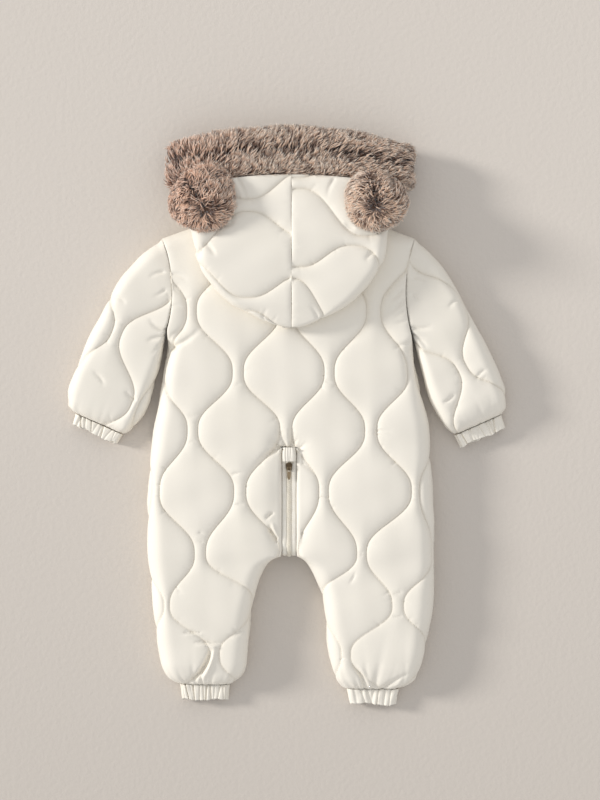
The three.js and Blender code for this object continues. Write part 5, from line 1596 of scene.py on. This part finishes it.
def trim_surface(s, turn, inset):
    """Points of the fur band at s round its loop (0 to 1) and turn round its section, inset in the solid."""
    half = TRIM["thick"] / 2
    bend = (TRIM["high"] - TRIM["low"]) / 2
    centre = (TRIM["high"] + TRIM["low"]) / 2
    ends = (TRIM["left"] + half + bend, TRIM["right"] - half - bend)
    straight = ends[1] - ends[0]
    whole = 2 * straight + 2 * math.pi * bend
    way = (s % 1) * whole
    arc = math.pi * bend
    x = np.select(
        [way < straight, way < straight + arc, way < 2 * straight + arc],
        [ends[0] + way, ends[1] + bend * np.sin((way - straight) / bend), ends[1] - (way - straight - arc)],
        ends[0] - bend * np.sin((way - 2 * straight - arc) / bend),
    )
    angle = np.select(
        [way < straight, way < straight + arc, way < 2 * straight + arc],
        [0 * way, (way - straight) / bend, math.pi + 0 * way], math.pi + (way - 2 * straight - arc) / bend,
    )
    nx, nz = np.sin(angle), np.cos(angle)
    z = centre + bend * nz
    share = np.abs(x - TRIM["middle"]) / 150
    top = TRIM["top"] - TRIM["topFall"] * share**2.2 - inset
    foot = TRIM["foot"] - TRIM["footFall"] * share**2.2 + inset * 0.35

    def squared(v, power):
        return np.sign(v) * np.abs(v) ** power

    along = (top + foot) / 2 + (top - foot) / 2 * squared(np.cos(turn), 0.6)
    out = (half - inset) * squared(np.sin(turn), 0.7)
    return np.stack([x + nx * out, along, z + nz * out], -1)


TRIM_FUR = [
    {"name": "trim_fur", "count": 12300, "hidden": 0.42, "length": (8, 15),
     "width": (0.5, 1.05), "rise": (3, 7), "seed": 42},
    {"name": "trim_fur_top", "count": 6500, "hidden": 0, "length": (9, 15),
     "width": (0.35, 0.7), "rise": (4, 8), "seed": 44},
]
FLOW = [(-150, 118), (-110, 84), (-60, 62), (0, 56), (50, 48), (95, 28), (125, 6), (158, -14)]


def make_trim(fur, core_shade):
    inset = 6.5
    s = np.linspace(0, 1, 221)[:-1, None]
    turn = np.linspace(0, 2 * math.pi, 33)[None, :-1]
    points = trim_surface(s, turn, inset)
    rows, columns = points.shape[:2]
    index = np.arange(rows * columns).reshape(rows, columns)
    p, q = index, np.roll(index, -1, 0)
    a, b = np.roll(p, -1, 1), np.roll(q, -1, 1)
    faces = np.concatenate([np.stack([p, a, b], -1).reshape(-1, 3), np.stack([p, b, q], -1).reshape(-1, 3)])
    flat = points.reshape(-1, 3)
    u, v, w = (flat[faces[:, k]] for k in range(3))
    if (u * np.cross(v, w)).sum() < 0:
        faces = faces[:, ::-1]
    backing = make_mesh("trim_backing", flat, faces, core_shade)
    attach(backing, "root")
    rng = np.random.default_rng(41)
    for layer in TRIM_FUR:
        dress_trim(layer, inset, fur, rng)


def dress_trim(layer, inset, fur, rng):
    """One layer of the band's locks, closer together on the side that lies uppermost."""
    count = layer["count"]
    hidden = int(count * layer["hidden"])
    s = np.concatenate([rng.uniform(0, 1, hidden), rng.uniform(-0.02, 0.5, count - hidden)])
    turn = np.concatenate([
        rng.uniform(0, 2 * math.pi, hidden), rng.uniform(-0.5, math.pi + 0.5, count - hidden),
    ])
    roots = trim_surface(s, turn, inset)
    step = 1e-3
    normals = unit(np.cross(
        trim_surface(s, turn + step, inset) - roots, trim_surface(s + step, turn, inset) - roots
    ))
    middle = trim_surface(s, turn, 10.9)
    outward = ((roots - middle) * normals).sum(-1, keepdims=True)
    normals = np.where(outward < 0, -normals, normals)
    heading = np.radians(track(FLOW)(roots[:, 0]) + rng.normal(0, 8, count))
    swirl = 16 * np.sin(roots[:, 0] / 13 + 1.3) * np.sin(roots[:, 1] / 17)
    heading = heading + np.radians(swirl)
    flow = np.stack([np.cos(heading), np.sin(heading), 0 * heading], -1)
    piece = locks(
        layer["name"], roots, normals, flow, fur, layer["seed"], layer["length"], layer["width"],
        layer["rise"]
    )
    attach(piece, "root")
    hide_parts("hood_trim")


def hood_crown(y):
    return track(HOOD, 4)(y)


def from_parting(ear, place):
    """How far, and which way, places in plan lie from the line along which an ear's fur parts."""
    start, end = (np.array([ear["x"] + a * ear["rx"], ear["y"] + b * ear["ry"]]) for a, b in ear["parting"])
    way = end - start
    share = np.clip(((place - start) @ way) / (way @ way), 0, 1)
    return place - start - share[..., None] * way


def ear_surface(ear, u, v, w, inset):
    """Points of an ear for directions (u, v, w) on a ball, inset below the solid."""
    sin, cos = math.sin(math.radians(ear["turn"])), math.cos(math.radians(ear["turn"]))
    thick = (EAR["thick"] - inset) * (0.28 + np.where(w > 0, 0.72, 0.28) * w)
    fold = 1 + 0.05 * np.sin(3 * np.arctan2(v, u))
    a, b = u * (ear["rx"] - inset) * fold, v * (ear["ry"] - inset) * fold
    x, y = ear["x"] + a * cos - b * sin, ear["y"] + a * sin + b * cos
    gap = np.linalg.norm(from_parting(ear, np.stack([x, y], -1)), axis=-1)
    thick = thick - VALE["depth"] * np.maximum(w, 0) * np.exp(-((gap / VALE["reach"]) ** 2))
    beyond = np.maximum(0, np.abs(x - HOOD_SEAM_X) - 100)
    bed = np.maximum(hood_crown(y), EAR["least"]) + EAR["rest"] - EAR["droop"] * beyond**2
    return np.stack([x, y, bed + thick], -1)


def make_ear(name, fur, core_shade, seed):
    ear = EARS[name]
    inset = 5
    theta = np.linspace(0, math.pi, 25)[:, None]
    phi = np.linspace(0, 2 * math.pi, 49)[None, :-1]
    ball = (np.sin(theta) * np.cos(phi), np.sin(theta) * np.sin(phi), np.cos(theta) + 0 * phi)
    points = ear_surface(ear, *ball, inset)
    centre = points.reshape(-1, 3).mean(0)
    faces = grid_faces(points, np.zeros(points.shape[:2], bool), ring=True, core=centre)
    pad = make_mesh(name + "_backing", points.reshape(-1, 3), faces, core_shade)
    merge = pad.modifiers.new("poles", "WELD")
    merge.merge_threshold = 0.05 * MM
    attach(pad, "root")
    rng = np.random.default_rng(seed)
    count = 5600
    w = rng.uniform(-0.9, 1, count)
    turn = rng.uniform(0, 2 * math.pi, count)
    ring = np.sqrt(1 - w * w)
    u, v = ring * np.cos(turn), ring * np.sin(turn)
    roots = ear_surface(ear, u, v, w, inset)
    outer = ear_surface(ear, u, v, w, 0)
    normals = unit((outer - roots) + 0.25 * unit(roots - centre))
    away = unit(from_parting(ear, roots[:, :2]) + rng.normal(0, 2.5, (count, 2)))
    bent = 0.35 + rng.normal(0, 0.35, count) + 0.5 * np.sin(roots[:, 0] / 9 + seed) * np.sin(roots[:, 1] / 11)
    cos, sin = np.cos(bent), np.sin(bent)
    flow = np.stack(
        [away[:, 0] * cos - away[:, 1] * sin, away[:, 0] * sin + away[:, 1] * cos, 0 * cos - 0.25], -1
    )
    piece = locks(name + "_fur", roots, normals, flow, fur, seed + 1, (7, 13.5), (0.45, 1), (2.5, 7.5))
    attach(piece, "root")
    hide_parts(name)


# Surroundings

def make_floor():
    mesh = bpy.data.meshes.new("floor")
    size = 6
    mesh.from_pydata(
        [(-size, -size, 0), (size, -size, 0), (size, size, 0), (-size, size, 0)], [], [(0, 1, 2, 3)]
    )
    material, tree, shader = new_material("plain_paper", linear(214, 206, 197), 0.9)
    where = coordinates_of(tree)
    # Painted light falloff: the paper is a little darker towards the feet and brighter towards the head
    split = tree.nodes.new("ShaderNodeSeparateXYZ")
    tree.links.new(where, split.inputs[0])
    rise = tree.nodes.new("ShaderNodeMapRange")
    rise.inputs["From Min"].default_value = -0.55
    rise.inputs["From Max"].default_value = 0.2
    tree.links.new(split.outputs["Y"], rise.inputs["Value"])
    colour = mixed(tree, linear(207, 199, 190), linear(220, 212, 203), rise.outputs["Result"])
    tree.links.new(colour, shader.inputs["Base Color"])
    bumped(tree, shader, [(noise(tree, where, 160, 4), 0.5, 0.9)])
    mesh.materials.append(material)
    floor = bpy.data.objects.new("floor", mesh)
    floor.location.z = -0.0006
    bpy.context.scene.collection.objects.link(floor)


def make_lights():
    """A broad pale surround, and one soft low light from the left and a little above, for the shadows."""
    world = bpy.data.worlds.new("studio")
    world.use_nodes = True
    background = world.node_tree.nodes["Background"]
    background.inputs["Color"].default_value = (0.98, 0.985, 1, 1)
    background.inputs["Strength"].default_value = 0.69
    bpy.context.scene.world = world
    light = bpy.data.lights.new("key", "SUN")
    light.energy = 2.35
    light.angle = math.radians(11)
    light.color = (1, 0.975, 0.94)
    lamp = bpy.data.objects.new("key", light)
    heading, height = math.radians(164), math.radians(20)
    towards = Vector(
        (math.cos(heading) * math.cos(height), math.sin(heading) * math.cos(height), math.sin(height))
    )
    lamp.rotation_mode = "QUATERNION"
    lamp.rotation_quaternion = (-towards).to_track_quat("-Z", "Y")
    lamp.location = towards * 3
    bpy.context.scene.collection.objects.link(lamp)
    bpy.context.scene.view_settings.view_transform = "Standard"


def make_camera():
    """Straight over the garment with a long lens. The view is 976 mm high at the garment's middle height."""
    view_height, middle, lens, sensor = 0.976, 0.035, 100, 36
    camera = bpy.data.cameras.new("camera")
    camera.lens = lens
    camera.sensor_width = sensor
    camera.clip_end = 20
    eye = bpy.data.objects.new("camera", camera)
    eye.location = (0.0168, 0.0218, middle + view_height * lens / sensor)
    bpy.context.scene.collection.objects.link(eye)
    bpy.context.scene.camera = eye


cloth, fur, core_shade = shell_material(), fur_material(), core_shade_material()
tape, coil, thread = tape_material(), coil_material(), thread_material()
# The slider is a darker brass than the pull.
dark_metal = metal_material("dark_brass", linear(52, 43, 34), linear(128, 110, 86))
pale_metal = metal_material("pale_brass", linear(112, 95, 72), linear(196, 176, 144))
make_camera()
make_lights()
make_floor()
make_back(cloth)
for half in ("left", "right"):
    make_front(half, cloth)
    make_sleeve(half, cloth)
    make_hood(half, cloth)
for cuff_name in CUFFS:
    make_cuff(cuff_name, cloth)
tape_start = CHAIN["width"] / 2 + SEAM_GAP
for half, way in (("left", -1), ("right", 1)):
    tape_edges = sorted(ZIP["x"] + way * (tape_start + along) for along in (0, TAPE["width"]))
    lip_edges = sorted(ZIP["x"] + way * along for along in LIP["x"])
    ribbon("zip_tape_" + half, "zip_tape_" + half, *tape_edges, TAPE["thick"], 0, tape, 0.25)
    ribbon("zip_chain", "zip_lip_" + half, *lip_edges, LIP["thick"], LIP["lift"], tape, 0.05)
make_chain(coil)
make_guard(cloth)
bevelled("zip_slider", "zip_slider_cast", "root", dark_metal, 0.35)
bevelled("zip_pull", "zip_pull_cast", "pull", pale_metal, 0.25)
make_stitches(thread)
make_trim(fur, core_shade)
for seed_step, ear_name in enumerate(EARS):
    make_ear(ear_name, fur, core_shade, 51 + 2 * seed_step)
